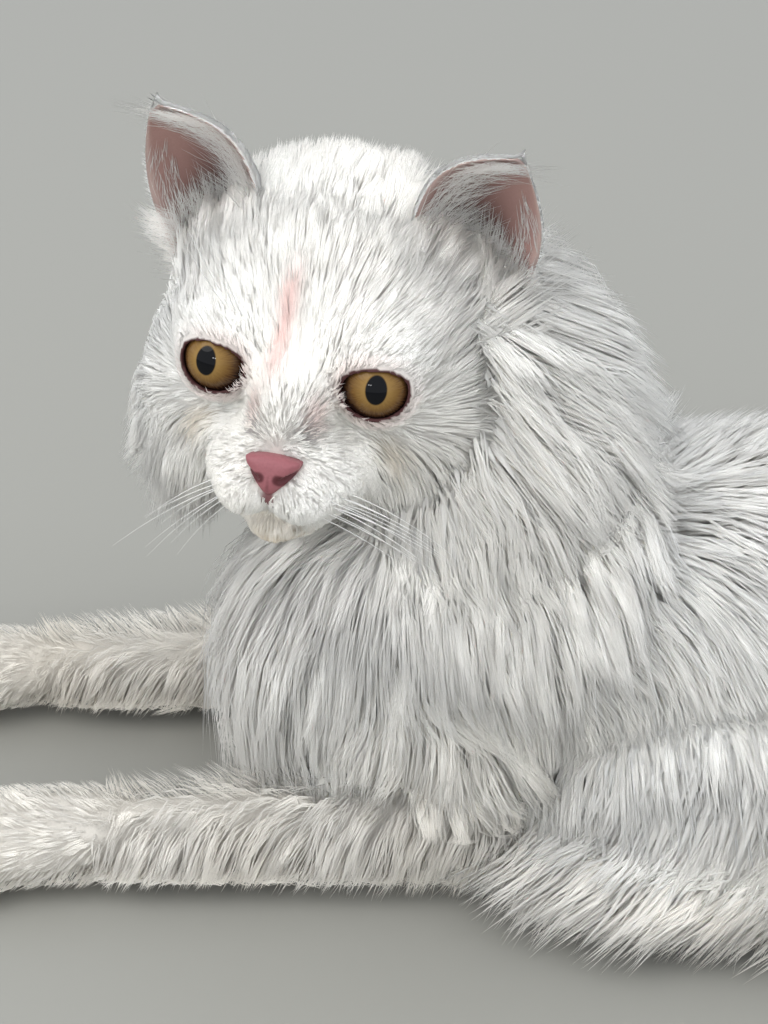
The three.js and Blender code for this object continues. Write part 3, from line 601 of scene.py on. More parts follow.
# the rows of whisker spots
SIDE_PATCHES += [
    ("speck", 0.35, (8.5 + 2.8 * k, -12 + 2.4 * k, -25.6 - 2.0 * row - 0.3 * k), (0.9, 6, 0.7), None)
    for row in range(3) for k in range(5)
]


def markings(points):
    """Colour of the coat and skin at places on the cat, in linear light, with painted shade on the chest and
    head.
    """
    look = bpy.context.scene.cat_coat
    q = to_head(points)
    colour = np.tile(np.array(look.white), (len(points), 1))

    def lay(over, amount):
        """Lays a colour over the others, by an amount at each place."""
        colour[:] = mix(colour, np.array(over), np.clip(amount, 0, 1)[:, None])

    on_head = 1 - smooth(62, 78, np.linalg.norm(q - (0, 25, -4), axis=1))
    legs = 1 - smooth(28, 60, points[:, 2])
    front = 1 - smooth(20, 70, points[:, 1])
    lay(look.cream, 0.55 * legs * front * (0.75 + 0.25 * wobble(points, 60, 3)))
    lay(look.cream, 0.3 * legs * (1 - front))
    lay(look.cream, 0.2 + 0.15 * wobble(points, 90, 4))
    # painted shade: the chest below the head is greyed with the shade colour, partly its own grey-brown tone
    chest = (1 - smooth(-34, -20, points[:, 1])) * smooth(20, 45, points[:, 2]) * (1 - on_head)
    lay(look.shade, 0.25 * np.clip(chest, 0, 1))
    # painted shade: the head's hair is darkened a little, as its short hair casts less shadow of its own than
    # the long coat
    colour *= mix(1.0, 0.94, on_head)[:, None]
    # grey-brown on the chest under the chin: partly the coat's own tint, partly painted shade where the head
    # shades the chest
    lay(look.under_chin_shade_and_tint, 0.55 * spot(points, (15, -42, 85), (60, 34, 46)) * (1 - on_head))

    # pink skin shows through in a streak up the forehead
    streak = np.exp(-(((q[:, 0] + 3.2 - 0.1 * (q[:, 2] - 10)) / 2.3) ** 2))
    lay(look.pink, 0.6 * streak * smooth(-6, 4, q[:, 2]) * (1 - smooth(14, 26, q[:, 2])) * on_head)
    for side in (-1, 1):
        for name, amount, (x, y, z), reach, grain in SIDE_PATCHES:
            patch = amount * spot(q, (side * x, y, z), reach)
            if grain:
                size, seed, start, full = grain
                patch = patch * smooth(start, full, wobble(q, size, seed))
            lay(getattr(look, name), patch)
    # stains of the chin and of the lip above it, a grainy grey-brown patch under the chin, and a grey tint on
    # the left lip
    lay(look.stain, spot(q, (0, -5, -43), (17, 19, 11)) * (0.8 + 0.2 * wobble(q, 3, 6)))
    lay(look.under_chin_shade_and_tint, 0.6 * spot(q, (0, -3, -46), (14, 15, 6)) * smooth(-0.3, 0.5, wobble(q, 1.9, 8)))
    lay(look.stain, 0.35 * spot(q, (0, -13, -34), (14, 8, 4)))
    lay(look.speck, 0.2 * spot(q, (15, -6, -29), (6, 9, 5)) * (0.5 + 0.5 * wobble(q, 2.6, 7)))
    return colour


def new_material(name):
    """A material, its nodes, its links and its shader."""
    material = bpy.data.materials.new(name)
    material.use_nodes = True
    nodes = material.node_tree.nodes
    return material, nodes, material.node_tree.links, nodes["Principled BSDF"]


def add_bump(nodes, links, shader, scale, strength, distance, detail=4.0):
    """Fine relief from noise on Object coordinates. Scale is in turns a metre."""
    where = nodes.new("ShaderNodeTexCoord")
    noise = nodes.new("ShaderNodeTexNoise")
    noise.inputs["Scale"].default_value = scale
    noise.inputs["Detail"].default_value = detail
    bump = nodes.new("ShaderNodeBump")
    bump.inputs["Strength"].default_value = strength
    bump.inputs["Distance"].default_value = distance
    links.new(where.outputs["Object"], noise.inputs["Vector"])
    links.new(noise.outputs["Fac"], bump.inputs["Height"])
    links.new(bump.outputs["Normal"], shader.inputs["Normal"])
    return noise


def tinted(nodes, links, shader, source, noise, low, high):
    """Feeds a colour to the shader, a little darker and lighter with the noise."""
    ramp = nodes.new("ShaderNodeMapRange")
    ramp.inputs["To Min"].default_value = low
    ramp.inputs["To Max"].default_value = high
    scale = nodes.new("ShaderNodeVectorMath")
    scale.operation = "SCALE"
    links.new(noise.outputs["Fac"], ramp.inputs["Value"])
    links.new(source, scale.inputs[0])
    links.new(ramp.outputs["Result"], scale.inputs["Scale"])
    links.new(scale.outputs["Vector"], shader.inputs["Base Color"])


def painted_material(name, roughness, sheen, scale, strength, distance, glow=0.0):
    """A matt material that takes its colour from the piece's own paint."""
    material, nodes, links, shader = new_material(name)
    colour = nodes.new("ShaderNodeAttribute")
    colour.attribute_name = "coat_colour"
    shader.inputs["Roughness"].default_value = roughness
    shader.inputs["Specular IOR Level"].default_value = 0.25
    shader.inputs["Sheen Weight"].default_value = sheen
    shader.inputs["Sheen Roughness"].default_value = 0.5
    if glow:
        shader.subsurface_method = "BURLEY"
        shader.inputs["Subsurface Weight"].default_value = glow
        shader.inputs["Subsurface Radius"].default_value = (1.0, 0.97, 0.93)
        shader.inputs["Subsurface Scale"].default_value = 0.005
    noise = add_bump(nodes, links, shader, scale, strength, distance)
    tinted(nodes, links, shader, colour.outputs["Color"], noise, 0.9, 1.08)
    return material


# ---------------------------------------------------------------- head and skin


def lid_opening(side):
    """Outline of the opening between the lids, in x and z: nearly round, its outer corner a little higher."""
    turn = np.linspace(0, 2 * math.pi, 40, endpoint=False)
    high = np.where(np.sin(turn) > 0, LID_RISE, LID_DROP)
    across = LID_HALF_WIDTH * np.cos(turn)
    flat = np.where(np.sin(turn) > 0, 0.85, 0.92)
    up = high * np.sign(np.sin(turn)) * np.abs(np.sin(turn)) ** flat + across * LID_TILT
    return np.stack([(across - LID_SHIFT) * side, up], 1)


# degrees that the lids' opening is turned outwards
LID_SWING = 14


def swing(points, side):
    """Turns points about the eye's upright axis, as the eye looks outwards."""
    a = math.radians(side * LID_SWING)
    x, y = points[:, 0].copy(), points[:, 1].copy()
    turned_x, turned_y = x * math.cos(a) - y * math.sin(a), x * math.sin(a) + y * math.cos(a)
    return np.stack([turned_x, turned_y, points[:, 2]], 1)


def opening_prism(side):
    """A tool that cuts the opening between the lids."""
    outline = lid_opening(side)
    n = len(outline)
    points = np.vstack([np.stack([outline[:, 0], np.full(n, y), outline[:, 1]], 1) for y in (-30, 0)])
    faces = [tuple(range(n)), tuple(range(2 * n - 1, n - 1, -1))]
    faces += [(i, n + i, n + (i + 1) % n, (i + 1) % n) for i in range(n)]
    ob = mesh_from("opening", from_head(swing(points, side) + eye_centre(side)), faces)
    turn_out(ob)
    return ob


def rod(points, radii, columns=10):
    """A closed tube through points in the head's frame, as points and faces."""
    points = np.asarray(points, float)
    t = np.linspace(0, 1, len(points) * 3)
    line, radius = along_line(points, t), np.interp(t, np.linspace(0, 1, len(radii)), radii)
    along = unit(np.gradient(line, axis=0))
    side = unit(np.cross(along, (0.13, 0.2, 1.0)))
    up = np.cross(side, along)
    a = 2 * np.pi * np.arange(columns) / columns
    ring = np.cos(a)[None, :, None] * side[:, None] + np.sin(a)[None, :, None] * up[:, None]
    rings = line[:, None] + ring * radius[:, None, None]
    first, last = line[:1] - along[:1] * radius[0], line[-1:] + along[-1:] * radius[-1]
    return np.vstack([first, rings.reshape(-1, 3), last]), grid_faces(len(line) + 1, columns)


def head_rod(name, points, radii):
    """A tapered rod on the head, as an object."""
    where, faces = rod(points, radii)
    ob = mesh_from(name, from_head(where), faces)
    turn_out(ob)
    return ob


def build_head():
    """The head under its coat: lids, sockets, cleft and line of the mouth."""
    points, faces = closed_grid(head, 90, 120, 0.6)
    ob = mesh_from("head_skin", points, faces)
    turn_out(ob)
    for side in SIDES.values():
        cut(ob, ball("lid", eye_centre(side), EYE_RADIUS + 1.5), "UNION")
    for side in (-1, 1):
        pad = [(side * 2.4, -13.5, -27), (side * 7.5, -13, -28.5), (side * 13, -8.5, -28)]
        cut(ob, head_rod("pad", pad, (4.6, 5.6, 4)), "UNION")
    chin = [(-5, -6.5, -38), (0, -8.2, -38.5), (5, -6.5, -38)]
    cut(ob, head_rod("chin", chin, (3.0, 3.8, 3.0)), "UNION")
    remesh(ob, 1.0)
    relax(ob, 4)
    for side in SIDES.values():
        cut(ob, ball("socket", eye_centre(side), EYE_RADIUS + 0.15))
        cut(ob, opening_prism(side))
    cut(ob, head_rod("cleft", CLEFT, (0.8, 0.7, 0.9)))
    for side in (-1, 1):
        cut(ob, head_rod("lip", lip_line(side), (1.1, 1.2, 1.1, 0.6)))
    remesh(ob, 0.85)
    relax(ob, 2, 0.4)
    return ob


def build_skin():
    """One skin for all but the head, which has a finer mesh of its own."""
    shells = []
    for name, form in FORMS.items():
        if name != "head":
            points, faces = closed_grid(form, 44, 36)
            shell = mesh_from(name, points, faces)
            turn_out(shell)
            shells.append(shell)
    body = join_all("body_skin", shells)
    remesh(body, 3.2)
    relax(body, 6)
    points, _ = mesh_points(body)
    points[:, 2] = np.maximum(points[:, 2], FLOOR_GAP)
    body.data.vertices.foreach_set("co", (points * MM).ravel())
    return body


class Ground:
    """What the coat grows from: a skin, and the nearest form of each of its triangles."""

    def __init__(self, ob):
        mesh = ob.data
        mesh.calc_loop_triangles()
        self.points, self.normals = mesh_points(ob)
        triangles = np.zeros(3 * len(mesh.loop_triangles), np.int32)
        mesh.loop_triangles.foreach_get("vertices", triangles)
        self.triangles = triangles.reshape(-1, 3)
        self.tree = BVHTree.FromPolygons(self.points.tolist(), self.triangles.tolist())
        corners = self.points[self.triangles]
        a, b = corners[:, 1] - corners[:, 0], corners[:, 2] - corners[:, 0]
        self.area = np.linalg.norm(np.cross(a, b), axis=1) / 2
        self.middle = corners.mean(1)
        self.form = form_of(self.middle)[0]

    def onto(self, points):
        """The nearest places on the skin, with smooth normals."""
        found = [self.tree.find_nearest(p) for p in points.tolist()]
        places = np.array([f[0] for f in found])
        faces = self.triangles[[f[2] for f in found]]
        corners = self.points[faces]
        weight = 1 / (np.linalg.norm(corners - places[:, None], axis=2) + 0.05)
        normals = unit((self.normals[faces] * weight[:, :, None]).sum(1))
        return places, normals

    def scatter(self, count, weights, rng):
        """Random places on the skin and their normals, denser where the weights are higher."""
        chance = self.area * weights
        face = rng.choice(len(chance), count, p=chance / chance.sum())
        a, b = rng.random((2, count))
        flip = a + b > 1
        a, b = np.where(flip, 1 - a, a), np.where(flip, 1 - b, b)
        corners = self.points[self.triangles[face]]
        normals = self.normals[self.triangles[face]]
        w = np.stack([1 - a - b, a, b], 1)[:, :, None]
        return (corners * w).sum(1), unit((normals * w).sum(1))


_samples = {}


def form_of(points):
    """For each place: the number of the nearest form, where it lies on it, and the depth of the coat."""
    if not _samples:
        rows = []
        for k, form in enumerate(FORMS.values()):
            ways, turns = np.linspace(0.01, 0.99, 70), np.linspace(0, 2 * np.pi, 48, endpoint=False)
            t, a = (grid.ravel() for grid in np.meshgrid(ways, turns))
            where = form.at(t, a)
            coat = form.coat(t, where)
            rows.append(np.column_stack([where, np.full(len(t), k), t, a, coat]))
        table = np.vstack(rows)
        tree = KDTree(len(table))
        for i, row in enumerate(table[:, :3].tolist()):
            tree.insert(row, i)
        tree.balance()
        _samples.update(table=table, tree=tree)
    table, tree = _samples["table"], _samples["tree"]
    near = np.array([tree.find(p)[1] for p in points.tolist()])
    rows = table[near]
    return rows[:, 3].astype(int), rows[:, 4], rows[:, 5], rows[:, 6]


# ---------------------------------------------------------------- lie of the coat


def lie_back(p):
    """Down the sides and backwards, more so high on the back."""
    backwards = mix(0.1, mix(0.25, 0.9, smooth(55, 90, p[:, 2])), smooth(-30, 60, p[:, 1]))
    return np.stack([0.15 * np.sign(p[:, 0]), backwards, np.full(len(p), -0.9)], 1)


def lie_ruff(p):
    """Down, forwards on the chest and backwards behind it."""
    backwards = mix(-0.25, 0.45, smooth(-40, 50, p[:, 1]))
    return np.stack([0.25 * np.sign(p[:, 0]), backwards, np.full(len(p), -1.0)], 1)


def lie_thigh(p):
    """Outwards and down, and forwards near the floor."""
    backwards = mix(-0.6, 0.15, smooth(25, 75, p[:, 2]))
    return np.stack([0.45 * np.sign(p[:, 0]), backwards, np.full(len(p), -0.9)], 1)


def lie_leg(p):
    """Down and towards the paw."""
    return np.stack([0.15 * np.sign(p[:, 0]), np.full(len(p), -0.5), np.full(len(p), -0.8)], 1)


def lie_paw(p):
    """Towards the toes."""
    return np.stack([np.zeros(len(p)), np.full(len(p), -1.0), np.full(len(p), -0.35)], 1)


def lie_tail(p):
    """Along the tail to its tip, a little down."""
    ways = np.linspace(0, 1, 60)
    line = along_line(tail.line, ways)
    near = np.argmin(np.linalg.norm(p[:, None] - line[None], axis=2), 1)
    return tail.tangent(ways[near]) + (0, 0, -0.3)


def lie_head(p):
    """Hair fans out from the nose, over the forehead and back along the cheeks, and hangs on the jaw."""
    fan_from = (0, -12, -17)
    q = to_head(p)
    out = unit(q - fan_from)
    low = 1 - smooth(-24, 0, q[:, 2])
    wide = smooth(12, 30, np.abs(q[:, 0]))
    behind = smooth(30, 60, q[:, 1])
    out = out + (low * 0.5)[:, None] * (0, 0, -1) + (wide * low * 0.3)[:, None] * (0, 1, 0)
    out = out + behind[:, None] * (0, 0.6, -0.9)
    jowls = smooth(12, 22, np.abs(q[:, 0])) * smooth(0, 12, q[:, 1]) * (1 - smooth(-26, -10, q[:, 2]))
    out = out * (1 - jowls[:, None] * (0.45, 0, 0)) + jowls[:, None] * (0, 0, -0.8)
    return unit(out) @ HEAD_AXES.T


def coat_lie(points, form):
    """The direction of the hair at each place, before it is laid on the skin."""
    lie = np.zeros((len(points), 3))
    rules = {
        "head": lie_head,
        "throat": lie_ruff,
        "trunk": lie_back,
        "belly": lie_back,
        "tail": lie_tail,
        "upper_arm": lie_ruff,
        "forearm": lie_leg,
        "flank": lie_thigh,
        "thigh": lie_thigh,
        "shank": lie_thigh,
        "forepaw": lie_paw,
        "hindpaw": lie_paw,
    }
    for k, name in enumerate(FORM_NAMES):
        rule = rules[name.replace("_left", "").replace("_right", "")]
        here = form == k
        if here.any():
            lie[here] = unit(rule(points[here]))
    return lie


# ---------------------------------------------------------------- tufts

# how far a wavy hair turns aside at each station, and the spacing of the waves over the coat
WAVE_TURNS = (1.0, -1.0, 0.8)
WAVE_SPACING = 22
# the height over the free height in which hair still comes away from the skin
FREE_BAND = 8
# width of a tuft at its stations, as a share of the widest, for two and for three stations
TUFT_SHAPES = {2: (0.75, 1.0), 3: (0.7, 1.0, 0.72)}
# half the side of a tuft's patch on the map, as a share of the map
PATCH = 0.0015
# how far a tuft is lit as the skin under it lies, and the lowest that its normals may point
SOFT_LIGHT, LOWEST_LIGHT = 0.75, -0.15
# height over the skin at which a hair looks for its lock, and the farthest lock, in lock spacings
LOCK_HEIGHT, FAR_LOCK = 12, 2.2
# share of the hairs that stay out of their lock, and how far they still follow it
STRAYS, STRAY_HOLD = 0.12, 0.1


def hair_paths(ground, roots, normals, length, height, swirl, how):
    """Each hair's line from its root along the skin, rising to its height, and the ups of its stations.

    Both are (hairs, steps + 1, 3).
    """
    here, up = roots.copy(), normals.copy()
    steps, lift, wave = how["steps"], how["lift"], math.radians(how["wave"])
    loose, hang = how["loose"](roots) if how["loose"] else np.zeros((2, len(roots)))
    lines, ups = [roots - normals * 0.5], [normals]
    form = form_of(roots)[0]
    for k in range(1, steps + 1):
        lie = coat_lie(here, form)
        flat = unit(lie - up * np.sum(lie * up, 1)[:, None])
        lie = unit(mix(flat, lie, hang[:, None]))
        across = np.cross(up, lie)
        turn = swirl + wave * WAVE_TURNS[k - 1] * wobble(roots, WAVE_SPACING, 9)
        lie = lie * np.cos(turn)[:, None] + across * np.sin(turn)[:, None]
        ahead = here + lie * (length / steps)[:, None]
        here, next_up = ground.onto(ahead)
        # near the floor hair leaves the skin and runs out straight
        free = (1 - smooth(how["free"], how["free"] + FREE_BAND, ahead[:, 2]))[:, None]
        raised = mix(up, np.array([0, 0, 1.0]), 0.5)
        here, next_up = mix(here, ahead, free), mix(next_up, raised, free)
        # loose hair goes on as it left the skin
        here, up = mix(here, ahead, loose[:, None]), unit(mix(next_up, up, loose[:, None]))
        rise = (k / steps) ** 0.75 * (lift(here) if lift else 1)
        point = here + up * (height * rise)[:, None]
        point[:, 2] = np.maximum(point[:, 2], FLOOR_GAP)
        lines.append(point)
        ups.append(up)
    return np.stack(lines, 1), np.stack(ups, 1)


def gather(lines, guides, nearest, strength):
    """Draws each hair towards the line of its lock, more so at its tip."""
    steps = lines.shape[1] - 1
    s = (np.arange(steps + 1) / steps)[None, :, None]
    target = guides[nearest] + (lines[:, :1] - guides[nearest][:, :1]) * (1 - s) ** 1.3
    return mix(lines, target, strength[:, None, None] * s**0.6)


def tuft_mesh(name, lines, ups, widths, colours, uv):
    """A closed, tapered, three-sided tuft along each line, painted from root to tip and mapped."""
    count, stations = lines.shape[:2]
    rings = stations - 1
    along = np.gradient(lines, axis=1)
    side = unit(np.cross(along, ups))
    half = widths[:, None] * 0.5 * np.array(TUFT_SHAPES[rings])[None]
    out = unit(np.cross(side, along))[:, :rings]
    left = lines[:, :rings] + side[:, :rings] * half[..., None] - out * (0.2 * half)[..., None]
    right = lines[:, :rings] - side[:, :rings] * half[..., None] - out * (0.2 * half)[..., None]
    top = lines[:, :rings] + out * (0.5 * half)[..., None]
    ring_points = np.stack([left, top, right], 2).reshape(count, rings * 3, 3)
    points = np.concatenate([ring_points, lines[:, -1:]], 1)
    per = rings * 3 + 1
    faces = [(0, 1, 2)]
    for r in range(rings - 1):
        for k in range(3):
            a, b = 3 * r + k, 3 * r + (k + 1) % 3
            faces += [(a, a + 3, b + 3), (a, b + 3, b)]
    top_ring = 3 * (rings - 1)
    faces += [(top_ring + k, per - 1, top_ring + (k + 1) % 3) for k in range(3)]
    faces = np.array(faces)
    corners = (np.arange(count)[:, None, None] * per + faces[None]).reshape(-1)
    mesh = bpy.data.meshes.new(name)
    mesh.vertices.add(count * per)
    mesh.vertices.foreach_set("co", (points * MM).astype(np.float32).ravel())
    mesh.loops.add(len(corners))
    mesh.loops.foreach_set("vertex_index", corners.astype(np.int32))
    mesh.polygons.add(len(corners) // 3)
    mesh.polygons.foreach_set("loop_start", np.arange(0, len(corners), 3, dtype=np.int32))
    layer = mesh.uv_layers.new(name="OFBake")
    way = np.concatenate([np.repeat(np.arange(rings) / rings, 3), [1.0]])
    across = np.concatenate([np.tile([-1.0, 0.0, 1.0], rings), [0.0]])
    patch = np.stack([across, 2 * way - 1], 1) * PATCH
    place = (uv[:, None] + patch[None]).reshape(-1, 2)
    layer.data.foreach_set("uv", place[corners].astype(np.float32).ravel())
    mesh.update(calc_edges=True)
    # each tuft is lit partly as the coat under it lies, so that the coat reads as one soft body
    out_all = unit(np.cross(side, along))
    flat = np.stack([0.9 * side - 0.45 * out_all, out_all, -0.9 * side - 0.45 * out_all], 2)[:, :rings]
    own = np.concatenate([flat.reshape(count, rings * 3, 3), out_all[:, -1:]], 1)
    under = np.concatenate([np.repeat(ups[:, :rings], 3, 1), ups[:, -1:]], 1)
    lit = unit(mix(own, under, SOFT_LIGHT)).reshape(-1, 3)
    lit[:, 2] = np.maximum(lit[:, 2], LOWEST_LIGHT)
    shade_smooth_mesh(mesh)
    mesh.normals_split_custom_set_from_vertices(lit.tolist())
    ob = add_object(name, mesh)
    # from the root's colour, darkened with painted shade where it is given, to the tip's
    shade = np.concatenate([np.repeat(np.linspace(0, 1, rings, endpoint=False), 3), [1.0]])
    root, tip = colours
    paint(ob, "coat_colour", mix(root[:, None], tip[:, None], shade[None, :, None] ** 0.7).reshape(-1, 3))
    return ob


def unwrap(form, t, angle, forms):
    """A place for each root on an unwrap of the forms: one strip for each, its way by its turn."""
    order = {FORM_NAMES.index(name): k for k, name in enumerate(forms)}
    strip = np.array([order.get(f, 0) for f in form])
    u = (strip + 0.03 + 0.94 * np.clip(t, 0, 1)) / len(forms)
    v = 0.004 + 0.992 * (angle / (2 * np.pi))
    return np.stack([u, v], 1)


def grow(name, ground, forms, count, seed, *, width, length=1.9, least=8.0, most=70.0, rise=0.95, clump=4.0,
         hold=0.5, swirl=7.0, where=None, depth=None, spread=0.28, deep=0.35, **paths):
    """Grows a piece of the coat on some forms.

    width is the widest part of a tuft and length its length in coat depths, kept between least and most. rise
    is how near the tips come to the coat's full depth, and spread how much they differ. clump is the spacing
    of the locks, hold how far they draw together and swirl the degrees that they turn aside. where weighs
    places, depth changes the coat's depth and deep is how far roots take the colour of the shade, a painted
    shade deep in the coat. The paths are those of hair_paths: steps, wave in degrees, the free height, and
    functions of places for lift and loose.
    """
    look = bpy.context.scene.cat_coat
    how = {"steps": 3, "wave": 0.0, "lift": None, "loose": None, "free": FREE_HEIGHT} | paths
    steps = how["steps"]
    rng = np.random.default_rng(seed)
    numbers = [FORM_NAMES.index(f) for f in forms]
    weights = np.isin(ground.form, numbers).astype(float)
    if where is not None:
        weights = weights * where(ground.middle)
    roots, normals = ground.scatter(count, weights, rng)
    form, t, angle, coat = form_of(roots)
    if depth is not None:
        coat = depth(roots, coat)
    long = np.clip(coat * length, least, most) * rng.uniform(0.78, 1.15, count)
    height = coat * rise * rng.uniform(1 - spread, 1.0, count) + 0.4
    turn = np.radians(swirl) * (wobble(roots, 40, seed) + 0.5 * rng.normal(size=count))
    lines, ups = hair_paths(ground, roots, normals, long, height, turn, how)
    area = (ground.area * weights).sum()
    locks = max(20, int(area / clump**2))
    heart, heart_up = ground.scatter(locks, weights, rng)
    heart_coat = form_of(heart)[3]
    if depth is not None:
        heart_coat = depth(heart, heart_coat)
    heart_long = np.clip(heart_coat * length, least, most) * rng.uniform(0.9, 1.15, locks)
    heart_turn = np.radians(swirl) * (wobble(heart, 40, seed) + 1.2 * rng.normal(size=locks))
    guide_height = heart_coat * rise * rng.uniform(0.82, 1.0, locks) + 0.4
    guides, _ = hair_paths(ground, heart, heart_up, heart_long, guide_height, heart_turn, how)
    tree = KDTree(locks)
    for i, p in enumerate((heart + LOCK_HEIGHT * heart_up).tolist()):
        tree.insert(p, i)
    tree.balance()
    nearest = np.array([tree.find(p)[1] for p in (roots + LOCK_HEIGHT * normals).tolist()])
    strength = hold * rng.uniform(0.6, 1.0, count)
    strength[rng.random(count) < STRAYS] = STRAY_HOLD
    strength[np.linalg.norm(heart[nearest] - roots, axis=1) > FAR_LOCK * clump] = 0.0
    lines = gather(lines, guides, nearest, strength)
    lines[:, 1:, 2] = np.maximum(lines[:, 1:, 2], LOCK_GAP)
    # a hair whose line jumped to another part of the skin is left out
    pieces = np.linalg.norm(np.diff(lines[:, 1:], axis=1), axis=2).max(1)
    kept = pieces < 1.7 * long / steps + 0.35 * height
    lines, ups, roots, nearest = lines[kept], ups[kept], roots[kept], nearest[kept]
    uv = unwrap(form[kept], t[kept], angle[kept], forms)
    count = int(kept.sum())
    tint = markings(roots)
    lock_shade = rng.uniform(0.94, 1.03, locks)[nearest]
    shade = (lock_shade * rng.uniform(0.94, 1.04, count))[:, None]
    # roots are darkened with the shade colour: painted shade deep in the coat, where little light reaches
    base = mix(tint, np.array(look.shade) * tint, deep) * shade
    tip = np.clip(tint * shade, 0, 0.94)
    return tuft_mesh(name, lines, ups, width * rng.uniform(0.75, 1.25, count), (base, tip), uv)


# ---------------------------------------------------------------- where the coat grows on the head


def near_line(q, points):
    """Distance from each place to a line through some points."""
    line = along_line(points, np.linspace(0, 1, 24))
    return np.linalg.norm(q[:, None] - line[None], axis=2).min(1)


def inside_outline(points, outline):
    """Whether flat points are inside a closed outline."""
    inside = np.zeros(len(points), bool)
    x, y = points.T
    for (x0, y0), (x1, y1) in zip(outline, np.roll(outline, -1, axis=0)):
        crosses = (y0 > y) != (y1 > y)
        at = x0 + (y - y0) * (x1 - x0) / (y1 - y0 if y1 != y0 else 1e-9)
        inside ^= crosses & (x < at)
    return inside


def bare_face(points):
    """1 where hair grows on the head, 0 in the eyes, on their rims, the nose leather and the lips."""
    q = to_head(points)
    grows = np.ones(len(q))
    for side in SIDES.values():
        centre = eye_centre(side)
        p = swing(q - centre, -side)
        grows[np.linalg.norm(q - centre, axis=1) < EYE_RADIUS + 0.5] = 0
        grows[inside_outline(p[:, [0, 2]], lid_opening(side) * 1.12) & (p[:, 1] < 0)] = 0
    # the nose leather is a triangle that widens upwards
    lowest, highest = -26.5, -16.8
    leather = np.abs(q[:, 0]) < 1.3 + 0.62 * (q[:, 2] - lowest)
    grows[leather & (q[:, 2] > lowest) & (q[:, 2] < highest) & (q[:, 1] < -9)] = 0
    for side in (-1, 1):
        grows[near_line(q, lip_line(side)) < 1.5] = 0
    grows[near_line(q, CLEFT) < 1.0] = 0
    return grows


def face_depth(points, coat):
    """Depth of the coat on the face: very short round the eyes and on the muzzle, longer up and back."""
    nose_tip = (0, -14, -22)
    q = to_head(points)
    away = np.linalg.norm(q - nose_tip, axis=1)
    depth = mix(1.0, FACE_COAT + 1.2, smooth(6, 40, away))
    eye = np.minimum(*(np.linalg.norm(q - eye_centre(s), axis=1) for s in SIDES.values()))
    depth = depth * mix(0.35, 1, smooth(11, 24, eye))
    depth = depth + 2.0 * spot(q, (0, -4, -44), (18, 16, 11))
    wide = np.abs(q[:, 0])
    beside_ears = smooth(8, 20, wide) * smooth(14, 30, q[:, 1]) * smooth(12, 26, q[:, 2])
    cheeks = smooth(22, 32, wide) * smooth(2, 20, q[:, 1]) * (1 - smooth(4, 20, q[:, 2]))
    temples = sum(spot(q, (side * 36, 22, 10), (17, 20, 18)) for side in SIDES.values())
    back = smooth(24, 34, wide) * smooth(22, 40, q[:, 1]) * (1 - smooth(10, 26, q[:, 2]))
    jowls = sum(spot(q, (side * 28, 18, -30), (20, 24, 24)) for side in SIDES.values())
    depth = depth + 3.0 * beside_ears + 3 * cheeks + 14 * temples + 5 * back + 8 * jowls
    return np.maximum(depth, (coat - FACE_COAT) + depth * 0.6)


def ruff_depth(points, coat):
    """The ruff stands out on the chest and behind the ears, where the neck and the head run together."""
    behind = smooth(15, 35, points[:, 1]) * smooth(115, 150, points[:, 2])
    return chest_depth(points, coat) + 11 * behind


def ruff_lift(points):
    """The ruff rises slowly next to the head, so that the hair of the cheeks covers its roots."""
    away = np.linalg.norm(to_head(points) - (0, 38, -2), axis=1)
    low = 1 - smooth(115, 145, points[:, 2])
    return 1 - 0.7 * (1 - smooth(40, 70, away)) * low * smooth(-35, -5, points[:, 1])


def cheek_lift(points):
    """Hair at the back of the cheeks stands out over the neck."""
    return mix(1.0, 1.7, smooth(32, 60, to_head(points)[:, 1]))


def chest_depth(points, coat):
    """The chest's coat stands out in front."""
    return coat + 17 * (1 - smooth(-34, -8, points[:, 1])) * smooth(25, 50, points[:, 2])


def on_face(points):
    """Where the short hair of the face grows, densest in front."""
    q = to_head(points)
    return bare_face(points) * (1 - smooth(18, 32, q[:, 1])) * (1 + 1.5 * (1 - smooth(0, 8, q[:, 1])))


def behind_face(points):
    """Where the longer hair of the head grows, from the brow and cheeks backwards."""
    q = to_head(points)
    return bare_face(points) * smooth(12, 28, q[:, 1])


def loose_cheeks(points):
    """How far the hair of the jowls and the back of the cheeks leaves the skin, and how far it hangs."""
    q = to_head(points)
    wide = np.abs(q[:, 0])
    jowls = smooth(12, 22, wide) * smooth(0, 12, q[:, 1]) * (1 - smooth(-22, -6, q[:, 2]))
    back = smooth(22, 32, wide) * smooth(20, 34, q[:, 1]) * (1 - smooth(6, 22, q[:, 2]))
    return 0.85 * np.maximum(jowls, 0.8 * back), 0.9 * jowls


def off_floor(points):
    """1 where hair grows off the floor: not under the belly, where no light comes."""
    return smooth(3, 9, points[:, 2])


def above_floor(points):
    """1 clear of the floor, for the legs and paws, whose hair is short."""
    return (points[:, 2] > 2.5).astype(float)


def near_side(points):
    """Denser on the side that is seen most."""
    return off_floor(points) * mix(0.6, 1.0, smooth(-25, 0, points[:, 0]))


def on_chest(points):
    """Where the coat of the chest grows: in front of the elbows."""
    return off_floor(points) * (points[:, 1] < 36)


def on_back(points):
    """Where the coat of the back and belly grows: behind the shoulders."""
    return near_side(points) * (points[:, 1] >= 30)


def leg_depth(points, coat):
    """The forelegs' hair is longer near the floor, but not on the paws."""
    return coat + 3.5 * (1 - smooth(6, 22, points[:, 2])) * smooth(-100, -75, points[:, 1])


# ---------------------------------------------------------------- ears


